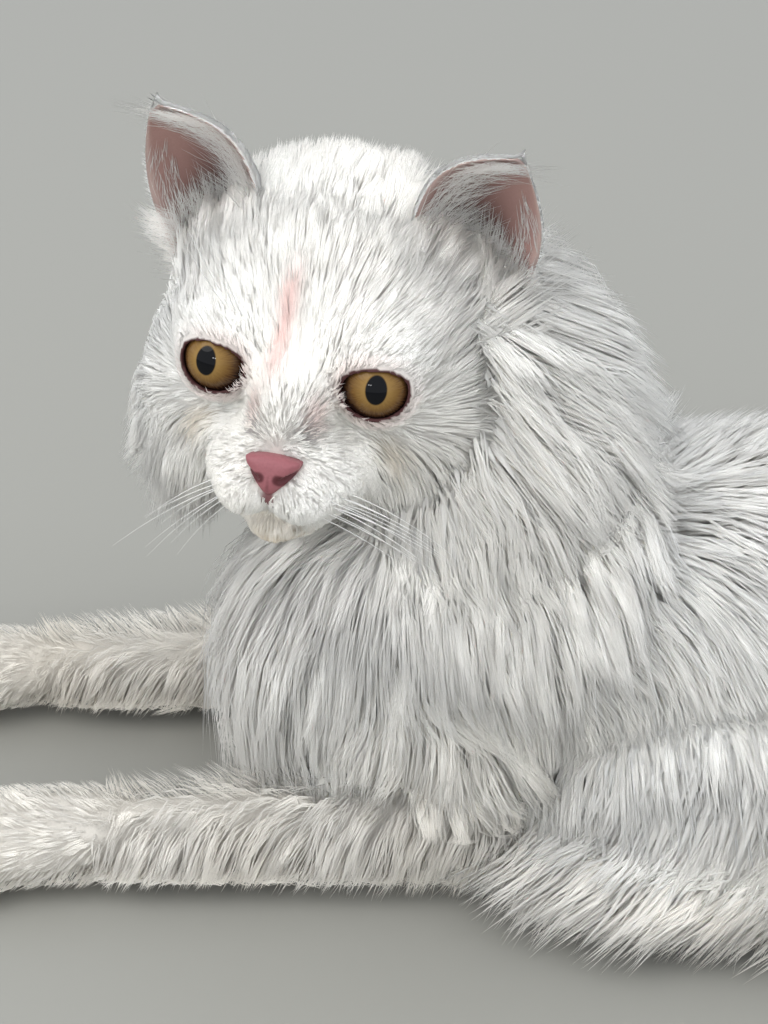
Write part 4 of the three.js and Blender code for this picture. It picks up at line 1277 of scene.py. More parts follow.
def ear_point(side, h, v, front, lift=0.0):
    """A place on the ear's front or back face: h from root to tip, v from the inner to the outer edge."""
    h, v = np.asarray(h, float), np.asarray(v, float)
    corners = (20, 33, 30), (47, 47, 10), (48.5, 24, 58)
    inner, outer, tip = (np.array(p, float) * (side, 1, 1) for p in corners)
    middle, across = (inner + outer) / 2, (outer - inner) / 2
    up = tip - middle
    back = unit(np.cross(across, up))
    back = back * np.sign(back[1])
    rise = np.clip(h, 0, 1)
    narrow = 1 - 0.86 * np.maximum(h, 0) ** 3.2
    thickness = mix(1.8, 0.9, rise) * (1 - 0.6 * np.abs(v) ** 3)
    bowl = (1 - v**2) * mix(17, 2, rise) - (thickness if front else 0)
    bulge = 3 * np.sin(math.pi * rise)
    offset = bowl + bulge + (-lift if front else lift)
    q = (
        middle
        + up * h[:, None]
        + across * (v * narrow * (1 + 0.12 * np.sin(math.pi * rise)))[:, None]
        + back * offset[:, None]
    )
    return from_head(q)


def build_ear(name, side):
    """The cup of an ear: a front and a back face, joined along their edge and painted."""
    rows, columns = 46, 30
    heights, places = np.linspace(-0.16, 1, rows), np.linspace(-1, 1, columns)
    h, v = (grid.ravel() for grid in np.meshgrid(heights, places, indexing="ij"))
    points = np.vstack([ear_point(side, h, v, False), ear_point(side, h, v, True)])
    n = rows * columns
    faces = []
    for i in range(rows - 1):
        for j in range(columns - 1):
            a = i * columns + j
            faces.append((a, a + 1, a + columns + 1, a + columns))
            faces.append((n + a, n + a + columns, n + a + columns + 1, n + a + 1))
    edge = [*range(columns)] + [i * columns + columns - 1 for i in range(1, rows)]
    edge += [(rows - 1) * columns + j for j in range(columns - 2, -1, -1)]
    edge += [i * columns for i in range(rows - 2, 0, -1)]
    faces += [(a, b, b + n, a + n) for a, b in zip(edge, edge[1:] + edge[:1])]
    ob = mesh_from(name, points, faces)
    turn_out(ob)
    look = bpy.context.scene.cat_face
    # painted shade: the cup darkens towards its root and middle, where shade falls deep in the ear
    deep = np.clip(1 - h, 0, 1) * (1 - v**2)
    inside = mix(np.array(look.ear_inside), np.array(look.ear_deep_shade), (smooth(0.15, 0.9, deep))[:, None])
    rim = smooth(0.82, 1.0, np.abs(v)) + smooth(0.93, 1, h)
    inside = mix(inside, np.array(look.ear_rim), np.clip(rim, 0, 1)[:, None])
    outside = np.tile(np.array(look.ear_rim), (n, 1))
    paint(ob, "coat_colour", np.vstack([outside, inside]))
    return ob


# Groups of long hairs in the ear: how many, between which heights and between which places across, the
# longest and the usual width in millimetres
EAR_TUFTS = (
    (300, 0.05, 0.85, -1.0, -0.45, 20, 0.17),
    (280, -0.12, 0.08, -1.0, 0.4, 19, 0.24),
    (200, -0.1, 0.16, 0.4, 1.0, 18, 0.26),
    (260, -0.16, 0.3, 0.8, 1.0, 14, 0.26),
    (70, 0.1, 0.7, 0.6, 1.0, 10, 0.18),
)
# the group that stands outwards, beside the ear's root
OUTER_FLUFF = 3


def ear_hair(name, side, seed):
    """Short hair on the back of the ear, a fringe along its edge and long fine hairs across its cup."""
    rng = np.random.default_rng(seed)
    look = bpy.context.scene.cat_coat
    face = bpy.context.scene.cat_face
    lines, ups, widths, uvs, roots, tips = [], [], [], [], [], []
    stations = 4
    steps = np.linspace(0, 1, stations)
    white, shade = np.array(look.white), np.array(look.shade)

    def add(path, up, width, strip, root, tip):
        """Adds a group of hairs. Its strip of the map is a start and a width."""
        lines.append(path)
        ups.append(np.repeat(np.repeat(up, len(path), 0)[:, None], stations, 1))
        widths.append(width)
        uvs.append(np.stack([strip[0] + strip[1] * np.clip(h, 0, 1), 0.5 + 0.48 * v], 1))
        roots.append(np.tile(root, (len(path), 1)))
        tips.append(np.tile(tip, (len(path), 1)))

    facing = unit(ear_point(side, [0.4], [0.0], False, 5) - ear_point(side, [0.4], [0.0], False))
    # the back of the ear
    n = 1100
    h, v = rng.uniform(-0.1, 0.97, n), np.clip(rng.uniform(-1.04, 1.04, n), -0.995, 0.995)
    long = rng.uniform(0.1, 0.2, n) * mix(1.3, 0.6, h)
    path = np.stack([
        ear_point(side, h + long * s, v * (1 + 0.05 * s), False)
        + facing * (2.6 * s * mix(1.3, 0.5, h))[:, None]
        for s in steps
    ], 1)
    # their roots are darkened with the shade colour: painted shade deep in the hair
    add(path, facing, rng.uniform(0.6, 0.95, n), (0.03, 0.4), mix(white, shade * white, 0.3), white)
    # the fringe on both edges
    n = 420
    h = rng.uniform(-0.05, 0.98, n)
    v = np.where(rng.random(n) < 0.5, -1.0, 1.0) * rng.uniform(0.96, 1.0, n)
    outward = unit(ear_point(side, h, v, True) - ear_point(side, h, v * 0.8, True))
    upward = unit(ear_point(side, h + 0.05, v, True) - ear_point(side, h, v, True))
    long = rng.uniform(1.5, 4.5, n) * mix(1.6, 0.45, h)
    start = ear_point(side, h, v, False)
    way = unit(outward * 0.5 + upward - facing * rng.uniform(-0.2, 0.5, n)[:, None])
    path = np.stack([start + way * (long * s)[:, None] for s in steps], 1)
    add(path, -facing, rng.uniform(0.18, 0.32, n), (0.5, 0.2), white, white)
    # long fine hairs from the inner edge across the cup, and a dense tuft at its root
    for k, (n, lowest, highest, left, right, longest, thick) in enumerate(EAR_TUFTS):
        h, v = rng.uniform(lowest, highest, n), rng.uniform(left, right, n)
        start = ear_point(side, h, v, True, -0.4)
        outward = unit(ear_point(side, h, v + 0.1, True) - ear_point(side, h, v, True))
        outward = outward * (np.sign(0.3 - v)[:, None] if k != OUTER_FLUFF else 1)
        upward = unit(ear_point(side, h + 0.05, v, True) - ear_point(side, h, v, True))
        way = unit(
            outward * rng.uniform(0.2, 0.9, n)[:, None] + upward * rng.uniform(0.6, 1.1, n)[:, None]
            - facing * rng.uniform(0.3, 0.7, n)[:, None]
        )
        long = longest * rng.uniform(0.5, 1.0, n)
        bend = unit(upward + facing * 0.4)
        path = np.stack([
            start + way * (long * s)[:, None] + bend * (long * 0.25 * s * s)[:, None] for s in steps
        ], 1)
        add(path, -facing, thick * rng.uniform(0.7, 1.2, n), (0.75, 0.2), np.array(face.ear_hair), white)
    colours = np.vstack(roots), np.vstack(tips)
    return tuft_mesh(name, np.vstack(lines), np.vstack(ups), np.concatenate(widths), colours, np.vstack(uvs))


# ---------------------------------------------------------------- eyes and nose


# how far the clear front of the eye bulges, as a share of the eye, and where the map puts the back of it
CORNEA_BULGE, BEHIND = 0.05, 30


def build_eye(name, side):
    """The eyeball with its bulging clear front, and a map of its front in millimetres for the iris."""
    look = bpy.context.scene.cat_face
    ob = ball(name, eye_centre(side), EYE_RADIUS, 64, 96)
    points, _ = mesh_points(ob)
    q = to_head(points) - eye_centre(side)
    out, up = math.radians(look.gaze_out), math.radians(look.gaze_up)
    gaze = np.array([side * math.sin(out) * math.cos(up), -math.cos(out) * math.cos(up), math.sin(up)])
    right = unit(np.cross((0, 0, 1.0), gaze))
    top = np.cross(gaze, right)
    ahead = unit(q) @ gaze
    q = q * (1 + CORNEA_BULGE * smooth(0.62, 1.0, ahead))[:, None]
    ob.data.vertices.foreach_set("co", (from_head(q + eye_centre(side)) * MM).ravel())
    flat = np.stack([q @ right, q @ top], 1)
    flat[ahead < 0] = BEHIND
    layer = ob.data.uv_layers.new(name="gaze")
    corners = np.zeros(len(ob.data.loops), np.int32)
    ob.data.loops.foreach_get("vertex_index", corners)
    layer.data.foreach_set("uv", flat[corners].astype(np.float32).ravel())
    ob.data.update()
    return ob


def eye_material():
    """Amber iris with fine fibres and a dark rim, an upright oval pupil and a wet clear front."""
    look = bpy.context.scene.cat_face
    material, nodes, links, shader = new_material("wet_amber_eye")

    def maths(operation, a, b=None):
        node = nodes.new("ShaderNodeMath")
        node.operation = operation
        for socket, value in zip(node.inputs, (a, b)):
            if isinstance(value, (int, float)):
                socket.default_value = value
            elif value is not None:
                links.new(value, socket)
        return node.outputs[0]

    def far(x, y):
        return maths("SQRT", maths("ADD", maths("MULTIPLY", x, x), maths("MULTIPLY", y, y)))

    where = nodes.new("ShaderNodeUVMap")
    where.uv_map = "gaze"
    split = nodes.new("ShaderNodeSeparateXYZ")
    links.new(where.outputs["UV"], split.inputs["Vector"])
    x, y = split.outputs["X"], split.outputs["Y"]
    y = maths("SUBTRACT", y, look.pupil_rise)
    radius = far(x, y)
    turn = maths("ARCTAN2", y, x)
    fibre_place = nodes.new("ShaderNodeCombineXYZ")
    links.new(maths("MULTIPLY", turn, 9.0), fibre_place.inputs["X"])
    links.new(maths("MULTIPLY", radius, 0.25), fibre_place.inputs["Y"])
    fibre = nodes.new("ShaderNodeTexNoise")
    fibre.inputs["Scale"].default_value = 2.2
    fibre.inputs["Detail"].default_value = 5.0
    links.new(fibre_place.outputs["Vector"], fibre.inputs["Vector"])
    ragged = maths("MULTIPLY", maths("SUBTRACT", fibre.outputs["Fac"], 0.5), 0.26)
    spread = maths("ADD", maths("DIVIDE", radius, 11.0), ragged)
    ramp = nodes.new("ShaderNodeValToRGB")
    stops = (
        (0.0, look.iris_inner),
        (0.32, look.iris_inner),
        (0.52, look.iris_middle),
        (0.66, look.iris_outer),
        (0.76, look.iris_rim),
        (0.9, look.eye_white),
    )
    ramp.color_ramp.elements[0].position = stops[0][0]
    ramp.color_ramp.elements[0].color = (*stops[0][1], 1)
    ramp.color_ramp.elements[1].position = stops[-1][0]
    ramp.color_ramp.elements[1].color = (*stops[-1][1], 1)
    for place, colour in stops[1:-1]:
        stop = ramp.color_ramp.elements.new(place)
        stop.color = (*colour, 1)
    links.new(spread, ramp.inputs["Fac"])
    half_width, half_height = look.pupil_width / 2 / MM, look.pupil_height / 2 / MM
    pupil_way = far(maths("DIVIDE", x, half_width), maths("DIVIDE", y, half_height))
    edge = nodes.new("ShaderNodeMapRange")
    edge.interpolation_type = "SMOOTHSTEP"
    edge.inputs["From Min"].default_value = 0.93
    edge.inputs["From Max"].default_value = 1.08
    links.new(pupil_way, edge.inputs["Value"])
    blend = nodes.new("ShaderNodeMix")
    blend.data_type = "RGBA"
    blend.inputs["A"].default_value = (*look.pupil, 1)
    links.new(edge.outputs["Result"], blend.inputs["Factor"])
    links.new(ramp.outputs["Color"], blend.inputs["B"])
    links.new(blend.outputs["Result"], shader.inputs["Base Color"])
    shader.inputs["Roughness"].default_value = 0.35
    shader.inputs["Specular IOR Level"].default_value = 0.0
    shader.inputs["Coat Weight"].default_value = 0.6
    shader.inputs["Coat Roughness"].default_value = 0.03
    shader.inputs["Coat IOR"].default_value = 1.4
    return material


def build_nose():
    """The nose leather: a rounded triangle with two comma-shaped nostrils and a cleft."""
    half = 7.25
    t = np.linspace(0, 1, 12, endpoint=False)[:, None]

    def curve(a, b, c):
        """A bend from a to c that is drawn towards b."""
        a, b, c = (np.array(p, float) for p in (a, b, c))
        return a * (1 - t) ** 2 + 2 * b * t * (1 - t) + c * t**2

    outline = np.vstack([
        curve((-half, 2.4), (0, 4.6), (half, 2.4)),
        curve((half, 2.4), (half * 0.95, -0.8), (1.6, -6.2)),
        curve((1.6, -6.2), (0, -7.4), (-1.6, -6.2)),
        curve((-1.6, -6.2), (-half * 0.95, -0.8), (-half, 2.4)),
    ])
    middle = np.array([0, -0.6])
    # the outline's size and how far it stands forwards, from behind to the front
    rings = ((1.0, -7.0), (1.02, -1.2), (0.94, 0.0), (0.8, 0.75), (0.6, 1.25), (0.35, 1.5))
    count = len(outline)
    points = []
    for size, ahead in rings:
        x, z = ((outline - middle) * size + middle).T
        points.append(np.stack([x, np.full(count, -ahead), z], 1))
    points = np.vstack(points + [[[0, -1.55, -0.6]], [[0, 7.0, -0.6]]])
    faces = []
    for r in range(len(rings) - 1):
        for k in range(count):
            a, b = r * count + k, r * count + (k + 1) % count
            faces.append((a, b, b + count, a + count))
    top, bottom = len(rings) * count, len(rings) * count + 1
    last = top - count
    faces += [(last + k, last + (k + 1) % count, top) for k in range(count)]
    faces += [(k, bottom, (k + 1) % count) for k in range(count)]
    # the leather leans back as it lies on the muzzle
    tilt, ahead = math.radians(-12), 16.0
    y, z = points[:, 1] - ahead, points[:, 2].copy()
    points[:, 1] = y * math.cos(tilt) - z * math.sin(tilt)
    points[:, 2] = y * math.sin(tilt) + z * math.cos(tilt)
    points += (0, -0.4, -22.85)
    ob = mesh_from("nose_leather", from_head(points), faces)
    turn_out(ob)
    remesh(ob, 0.45)
    relax(ob, 3)
    for side in (-1, 1):
        nostril = [
            (side * 2.5, -18.6, -21.6),
            (side * 3.9, -17.6, -22.1),
            (side * 5.9, -15.2, -20.3),
            (side * 8.4, -12.6, -19.6),
        ]
        cut(ob, head_rod("nostril", nostril, (0.9, 1.35, 1.0, 0.5)))
    cleft = [(0, -19.4, -19.6), (0, -19.2, -23.5), (0, -17.5, -28)]
    cut(ob, head_rod("nose_cleft", cleft, (0.25, 0.45, 0.6)))
    remesh(ob, 0.32)
    relax(ob, 2, 0.4)
    return ob


def nose_material():
    """Matt, finely grained leather."""
    look = bpy.context.scene.cat_face
    material, nodes, links, shader = new_material("pink_nose_leather")
    colour = nodes.new("ShaderNodeAttribute")
    colour.attribute_name = "coat_colour"
    shader.inputs["Roughness"].default_value = look.nose_roughness
    shader.inputs["Specular IOR Level"].default_value = 0.4
    noise = add_bump(nodes, links, shader, scale=1400, strength=0.45, distance=0.0003, detail=3.0)
    tinted(nodes, links, shader, colour.outputs["Color"], noise, 0.85, 1.12)
    return material


# ---------------------------------------------------------------- whiskers


def whisker_tree(material):
    """Curved, tapered hairs along the edges of a guide mesh."""
    tree = bpy.data.node_groups.new("whiskers", "GeometryNodeTree")
    face = tree.interface
    face.new_socket("Guides", in_out="INPUT", socket_type="NodeSocketGeometry")
    thickness = face.new_socket("Thickness", in_out="INPUT", socket_type="NodeSocketFloat")
    sides = face.new_socket("Sides", in_out="INPUT", socket_type="NodeSocketInt")
    finish = face.new_socket("Material", in_out="INPUT", socket_type="NodeSocketMaterial")
    thickness.default_value, sides.default_value, finish.default_value = 0.0003, 6, material
    face.new_socket("Whiskers", in_out="OUTPUT", socket_type="NodeSocketGeometry")
    add, link = tree.nodes.new, tree.links.new
    start, end = add("NodeGroupInput"), add("NodeGroupOutput")
    to_curve = add("GeometryNodeMeshToCurve")
    smooth_curve = add("GeometryNodeCurveSplineType")
    smooth_curve.spline_type = "CATMULL_ROM"
    finer = add("GeometryNodeResampleCurve")
    finer.inputs["Count"].default_value = 22
    place = add("GeometryNodeSplineParameter")
    taper = add("ShaderNodeMapRange")
    taper.inputs["To Min"].default_value = 1.0
    taper.inputs["To Max"].default_value = 0.12
    radius = add("GeometryNodeSetCurveRadius")
    radius.inputs["Radius"].default_value = 1.0
    profile = add("GeometryNodeCurvePrimitiveCircle")
    sweep = add("GeometryNodeCurveToMesh")
    sweep.inputs["Fill Caps"].default_value = True
    real = add("GeometryNodeRealizeInstances")
    paint_on = add("GeometryNodeSetMaterial")
    link(start.outputs["Guides"], to_curve.inputs["Mesh"])
    link(to_curve.outputs["Curve"], smooth_curve.inputs["Curve"])
    link(smooth_curve.outputs["Curve"], finer.inputs["Curve"])
    link(place.outputs["Factor"], taper.inputs["Value"])
    link(finer.outputs["Curve"], radius.inputs["Curve"])
    link(start.outputs["Sides"], profile.inputs["Resolution"])
    link(start.outputs["Thickness"], profile.inputs["Radius"])
    link(radius.outputs["Curve"], sweep.inputs["Curve"])
    link(profile.outputs["Curve"], sweep.inputs["Profile Curve"])
    tapered = sweep.inputs["Scale"] if "Scale" in sweep.inputs else radius.inputs["Radius"]
    link(taper.outputs["Result"], tapered)
    link(sweep.outputs["Mesh"], real.inputs["Geometry"])
    link(real.outputs["Geometry"], paint_on.inputs["Geometry"])
    link(start.outputs["Material"], paint_on.inputs["Material"])
    link(paint_on.outputs["Geometry"], end.inputs["Whiskers"])
    return tree, thickness.identifier


# Whiskers of the lips: side, how many, the shortest, and how steeply they start down
WHISKERS = ((1, 12, 32, 0.12), (-1, 8, 26, 0.45))


def whisker_guides():
    """Lines of the whiskers in the head's frame: root, first direction, length and sag of each."""
    rng = np.random.default_rng(51)
    lines = []
    for side, count, shortest, drop in WHISKERS:
        for k in range(count):
            row, place = k % 4, k // 4
            root = np.array([side * (9.5 + 3.2 * place), -12.0 + 2.9 * place, -26.2 - 1.7 * row])
            aim_at = np.array([side * (0.9 + 0.12 * place), 0.02 + 0.16 * row, -drop - 0.13 * row])
            way = unit(aim_at + rng.normal(0, 0.06, 3))
            long = rng.uniform(shortest, shortest + 16) * (1 - 0.08 * place)
            sag = rng.uniform(0.12, 0.3)
            lines.append((root, way, long, sag))
        # the brow's whiskers stand up
        for k in range(4):
            root = np.array([side * (15 + 1.8 * k), 1.0, 14 + 0.8 * k])
            way = unit(np.array([side * (0.25 + 0.1 * k), -0.4, 0.9]) + rng.normal(0, 0.08, 3))
            lines.append((root, way, rng.uniform(16, 26), -0.05))
    return lines


def build_whiskers(material):
    """All the whiskers as one closed mesh."""
    points, edges = [], []
    stations = 6
    s = np.linspace(0, 1, stations)[:, None]
    down = np.array([0, 0.25, -1.0])
    for root, way, long, sag in whisker_guides():
        world = from_head(root + way * long * s + down * long * sag * s**2)
        world[:, 2] = np.maximum(world[:, 2], 2 * FLOOR_GAP)
        edges += [(len(points) + k, len(points) + k + 1) for k in range(stations - 1)]
        points += (world * MM).tolist()
    mesh = bpy.data.meshes.new("whiskers")
    mesh.from_pydata(points, edges, [])
    ob = add_object("whiskers", mesh)
    tree, thickness = whisker_tree(material)
    grow_hair = ob.modifiers.new("grow", "NODES")
    grow_hair.node_group = tree
    grow_hair[thickness] = bpy.context.scene.cat_face.whisker_thickness / 2
    apply_modifiers(ob)
    turn_out(ob)
    return ob


# ---------------------------------------------------------------- what a user would change


def colour_of(name, description, *rgb):
    """A colour that a user may change. Its default is a screen colour."""
    return FloatVectorProperty(
        name=name, description=description, subtype="COLOR", default=default_colour(*rgb))


def length_of(name, description, default, least):
    """A length in metres that a user may change."""
    return FloatProperty(name=name, description=description, default=default, min=least, unit="LENGTH")


class CatCoat(bpy.types.PropertyGroup):
    """Colours and sizes of the coat."""

    white: colour_of("White", "Main colour of the coat", 247, 247, 244)
    cream: colour_of("Cream", "Tint of the legs and lower coat", 240, 231, 214)
    # painted shade: darkens the roots of the hair, the skin under the coat and the chest
    shade: colour_of("Shade", "Deep in the coat, near the skin", 226, 220, 214)
    pink: colour_of("Pink skin", "Where the skin shows through thin hair", 214, 158, 150)
    stain: colour_of("Stain", "Yellow-brown hair on the chin and under the eyes", 196, 168, 122)
    speck: colour_of("Grey specks", "Fine grey beside the nose", 104, 98, 98)
    # partly painted shade: the grey-brown on the chest below the head, where the head shades it, and a patch
    # under the chin
    under_chin_shade_and_tint: colour_of("Under the chin", "Grey-brown tint of the chest under the chin", 186, 176, 166)
    dust: colour_of("Dark specks", "Tiny dark specks at the inner corners of the eyes", 58, 42, 40)
    hair_width: length_of("Hair width", "Widest part of a long tuft", 0.0006, 0.0002)
    face_hair_width: length_of("Face hair width", "Widest part of a tuft on the face", 0.00036, 0.0001)
    tufts: IntProperty(
        name="Tufts", description="Tufts in each long piece of the coat", default=11800, min=500, max=12400)
    seed: IntProperty(name="Seed", description="Start of the random draws", default=7, min=0)


class CatFace(bpy.types.PropertyGroup):
    """Colours and sizes of the eyes, nose, ears and whiskers."""

    iris_inner: colour_of("Iris, inner", "Iris next to the pupil", 150, 118, 66)
    iris_middle: colour_of("Iris, middle", "Middle of the iris", 124, 92, 48)
    iris_outer: colour_of("Iris, outer", "Outer part of the iris", 84, 58, 34)
    iris_rim: colour_of("Iris, rim", "Dark ring round the iris", 38, 23, 18)
    eye_white: colour_of("Eye white", "Eyeball outside the iris", 70, 44, 38)
    pupil: colour_of("Pupil", "Colour of the pupil", 7, 8, 13)
    pupil_width: length_of("Pupil width", "Width of the pupil", 0.0056, 0.001)
    pupil_height: length_of("Pupil height", "Height of the pupil", 0.0078, 0.001)
    pupil_rise: FloatProperty(
        name="Pupil rise", description="Millimetres that the pupil sits above the line of sight", default=1.1)
    gaze_out: FloatProperty(
        name="Gaze out", description="Degrees that each eye looks outwards", default=10.0)
    gaze_up: FloatProperty(name="Gaze up", description="Degrees that the eyes look up", default=2.0)
    nose: colour_of("Nose leather", "Colour of the nose", 160, 97, 103)
    nostril: colour_of("Nostril", "Inside of the nostrils", 92, 40, 46)
    lid: colour_of("Lid edge", "Bare rims of the lids", 84, 52, 52)
    lip: colour_of("Lip", "Line of the mouth", 134, 90, 92)
    nose_roughness: FloatProperty(
        name="Nose roughness", description="Roughness of the nose leather", default=0.5, min=0, max=1)
    ear_inside: colour_of("Ear inside", "Bare skin in the ear", 186, 146, 138)
    # painted shade deep in the ear cup, towards its root and middle
    ear_deep_shade: colour_of("Ear, deep", "Skin deep in the ear", 112, 82, 78)
    ear_rim: colour_of("Ear rim", "Edge and back of the ear", 216, 190, 182)
    ear_hair: colour_of("Ear hair", "Root of the hair in the ear", 214, 204, 198)
    whisker_thickness: length_of("Whisker thickness", "Thickness of a whisker at its root", 0.0003, 0.0001)


class CatStage(bpy.types.PropertyGroup):
    """Floor, light and camera."""

    floor: colour_of("Floor", "Colour of the floor", 158, 157, 150)
    distance: length_of("Camera distance", "From the camera to the cat's neck", 0.54, 0.1)
    azimuth: FloatProperty(
        name="Camera azimuth", description="Degrees round the cat from its front", default=88.0)
    elevation: FloatProperty(name="Camera elevation", description="Degrees above the horizon", default=33.0)
    key: FloatProperty(name="Key light", description="Power of the main light in watts", default=8.2, min=0)
    fill: FloatProperty(
        name="Fill light", description="Power of the soft side light in watts", default=3.5, min=0)
    sky: FloatProperty(name="Sky", description="Strength of the light from all round", default=0.99, min=0)


# ---------------------------------------------------------------- the maker's steps

_made = {}


def coat_material():
    """The one material of all hair, which lets some light through."""
    if "coat" not in _made:
        _made["coat"] = painted_material(
            "white_coat", roughness=0.62, sheen=0.2, scale=2600, strength=0.1, distance=0.0002, glow=0.6)
    return _made["coat"]


def ground():
    """The skin that the coat grows from."""
    if "ground" not in _made:
        raise RuntimeError("The skin has to be made before the coat")
    return _made["ground"]


class MakeSkin(bpy.types.Operator):
    """Makes one skin for the whole body, with lids, lips and the line of the mouth."""

    bl_idname = "cat.make_skin"
    bl_label = "Skin"

    def execute(self, context):
        body, ob = build_skin(), build_head()
        cut(ob, body, "UNION")
        ob.name = "skin"
        ob.data.name = "skin"
        points, _ = mesh_points(ob)
        q = to_head(points)
        # the skin under the coat is darkened with the shade colour: painted shade of the deep coat, seen in the
        # gaps between tufts
        colour = markings(points) * mix(np.array(context.scene.cat_coat.shade), 1, 0.7)
        look = context.scene.cat_face
        for side in SIDES.values():
            p = swing(q - eye_centre(side), -side)
            socket = np.linalg.norm(p, axis=1) < EYE_RADIUS + 2.2
            rim = socket & inside_outline(p[:, [0, 2]], lid_opening(side) * 1.13) & (p[:, 1] < 0)
            colour[rim] = look.lid
            colour[np.linalg.norm(p, axis=1) < EYE_RADIUS + 0.8] = look.lid
        for side in (-1, 1):
            lip = near_line(q, [(0, -17, -24), *lip_line(side)])
            colour = mix(colour, np.array(look.lip), (1 - smooth(0.8, 2.0, lip))[:, None])
        paint(ob, "coat_colour", colour)
        material = painted_material(
            "bare_skin", roughness=0.6, sheen=0.0, scale=1800, strength=0.35, distance=0.0004)
        flesh = [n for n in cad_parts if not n.startswith(("ear", "eye", "nose"))]
        finish_piece(ob, material, flesh)
        _made["ground"] = Ground(ob)
        return {"FINISHED"}


class MakeEyes(bpy.types.Operator):
    """Makes both eyeballs with iris, pupil and a wet front."""

    bl_idname = "cat.make_eyes"
    bl_label = "Eyes"

    def execute(self, context):
        material = eye_material()
        for name, side in SIDES.items():
            finish_piece(build_eye(f"eyeball_{name}", side), material, [f"eye_{name}"])
        return {"FINISHED"}


class MakeNose(bpy.types.Operator):
    """Makes the nose leather with its nostrils."""

    bl_idname = "cat.make_nose"
    bl_label = "Nose"

    def execute(self, context):
        look = context.scene.cat_face
        ob = build_nose()
        q = to_head(mesh_points(ob)[0])
        colour = np.tile(np.array(look.nose), (len(q), 1))
        for side in (-1, 1):
            nostril = [(side * 2.5, -18.2, -21.6), (side * 3.9, -16.6, -22.0), (side * 5.9, -14.6, -20.3)]
            inside = 1 - smooth(1.0, 1.9, near_line(q, nostril))
            colour = mix(colour, np.array(look.nostril), inside[:, None])
        cleft = near_line(q, [(0, -18.6, -20.5), (0, -18.6, -23.5), (0, -17.5, -28)])
        colour = mix(colour, np.array(look.nostril), 0.5 * (1 - smooth(0.3, 0.9, cleft))[:, None])
        paint(ob, "coat_colour", colour)
        finish_piece(ob, nose_material(), ["nose"])
        return {"FINISHED"}


class MakeEars(bpy.types.Operator):
    """Makes the cups of the ears and the hair on and in them."""

    bl_idname = "cat.make_ears"
    bl_label = "Ears"

    def execute(self, context):
        material = painted_material(
            "ear_skin", roughness=0.55, sheen=0.1, scale=1500, strength=0.4, distance=0.0004)
        for k, (name, side) in enumerate(SIDES.items()):
            finish_piece(build_ear(f"ear_cup_{name}", side), material, [f"ear_{name}"])
            finish_piece(ear_hair(f"ear_hair_{name}", side, 40 + k), coat_material())
        return {"FINISHED"}


class MakeFaceCoat(bpy.types.Operator):
    """Grows the short hair of the face and the longer hair of the crown, cheeks and nape."""

    bl_idname = "cat.make_face_coat"
    bl_label = "Coat of the head"

    def execute(self, context):
        look = context.scene.cat_coat
        fine = look.face_hair_width / MM
        shared = dict(steps=2, length=2.3, most=36, loose=loose_cheeks, depth=face_depth)
        face = grow(
            "coat_face", ground(), ["head"], 18500, look.seed, width=fine, least=3.4, rise=0.75, clump=2.6,
            hold=0.35, swirl=5, where=on_face, deep=0.15, **shared)
        crown = grow(
            "coat_crown", ground(), ["head"], 19500, look.seed + 1, width=fine * 1.5, least=9.0, rise=0.9,
            clump=4.2, hold=0.65, swirl=9, lift=cheek_lift, where=behind_face, spread=0.25, deep=0.2,
            **shared)
        for ob in (face, crown):
            finish_piece(ob, coat_material())
        return {"FINISHED"}


ARMS, FLANKS, THIGHS = ([f"{part}_{side}" for side in SIDES] for part in ("upper_arm", "flank", "thigh"))

# Pieces of the long coat: name, the forms it grows on, its share of the tufts, their width, and how it grows
BODY_PIECES = (
    ("coat_under", ["throat", "trunk", "belly", *ARMS, *FLANKS, *THIGHS, "tail"], 1.05, 3.6,
     dict(steps=2, length=0.8, rise=0.7, clump=6.0, hold=0.2, where=near_side, deep=0.2, lift=ruff_lift)),
    ("coat_ruff", ["throat"], 1.0, 1.0,
     dict(clump=3.8, hold=0.7, length=1.3, wave=22, depth=ruff_depth, lift=ruff_lift)),
    ("coat_chest", [*ARMS, "trunk"], 0.85, 1.0,
     dict(clump=3.8, hold=0.7, length=1.4, least=14, rise=1.0, wave=22, depth=chest_depth, where=on_chest)),
    ("coat_back", ["trunk", "belly"], 1.4, 1.4,
     dict(steps=2, clump=4.0, hold=0.35, length=1.6, rise=0.8, wave=10, spread=0.2, where=on_back)),
    ("coat_flank_left", ["flank_left", "thigh_left", "shank_left"], 1.0, 1.5,
     dict(clump=5.0, hold=0.42, length=2.5, rise=0.85, least=26, wave=12, where=off_floor)),
    ("coat_flank_right", ["flank_right", "thigh_right", "shank_right"], 0.42, 1.6,
     dict(clump=5.0, hold=0.7, length=2.1, rise=0.55, where=off_floor)),
)


class MakeBodyCoat(bpy.types.Operator):
    """Grows the long coat of the neck, chest, back, flanks and thighs."""

    bl_idname = "cat.make_body_coat"
    bl_label = "Coat of the body"

    def execute(self, context):
        look = context.scene.cat_coat
        wide = look.hair_width / MM
        for k, (name, forms, share, widen, how) in enumerate(BODY_PIECES):
            count, seed = int(look.tufts * share), look.seed + 10 + k
            finish_piece(
                grow(name, ground(), forms, count, seed, width=wide * widen, **how), coat_material())
        return {"FINISHED"}


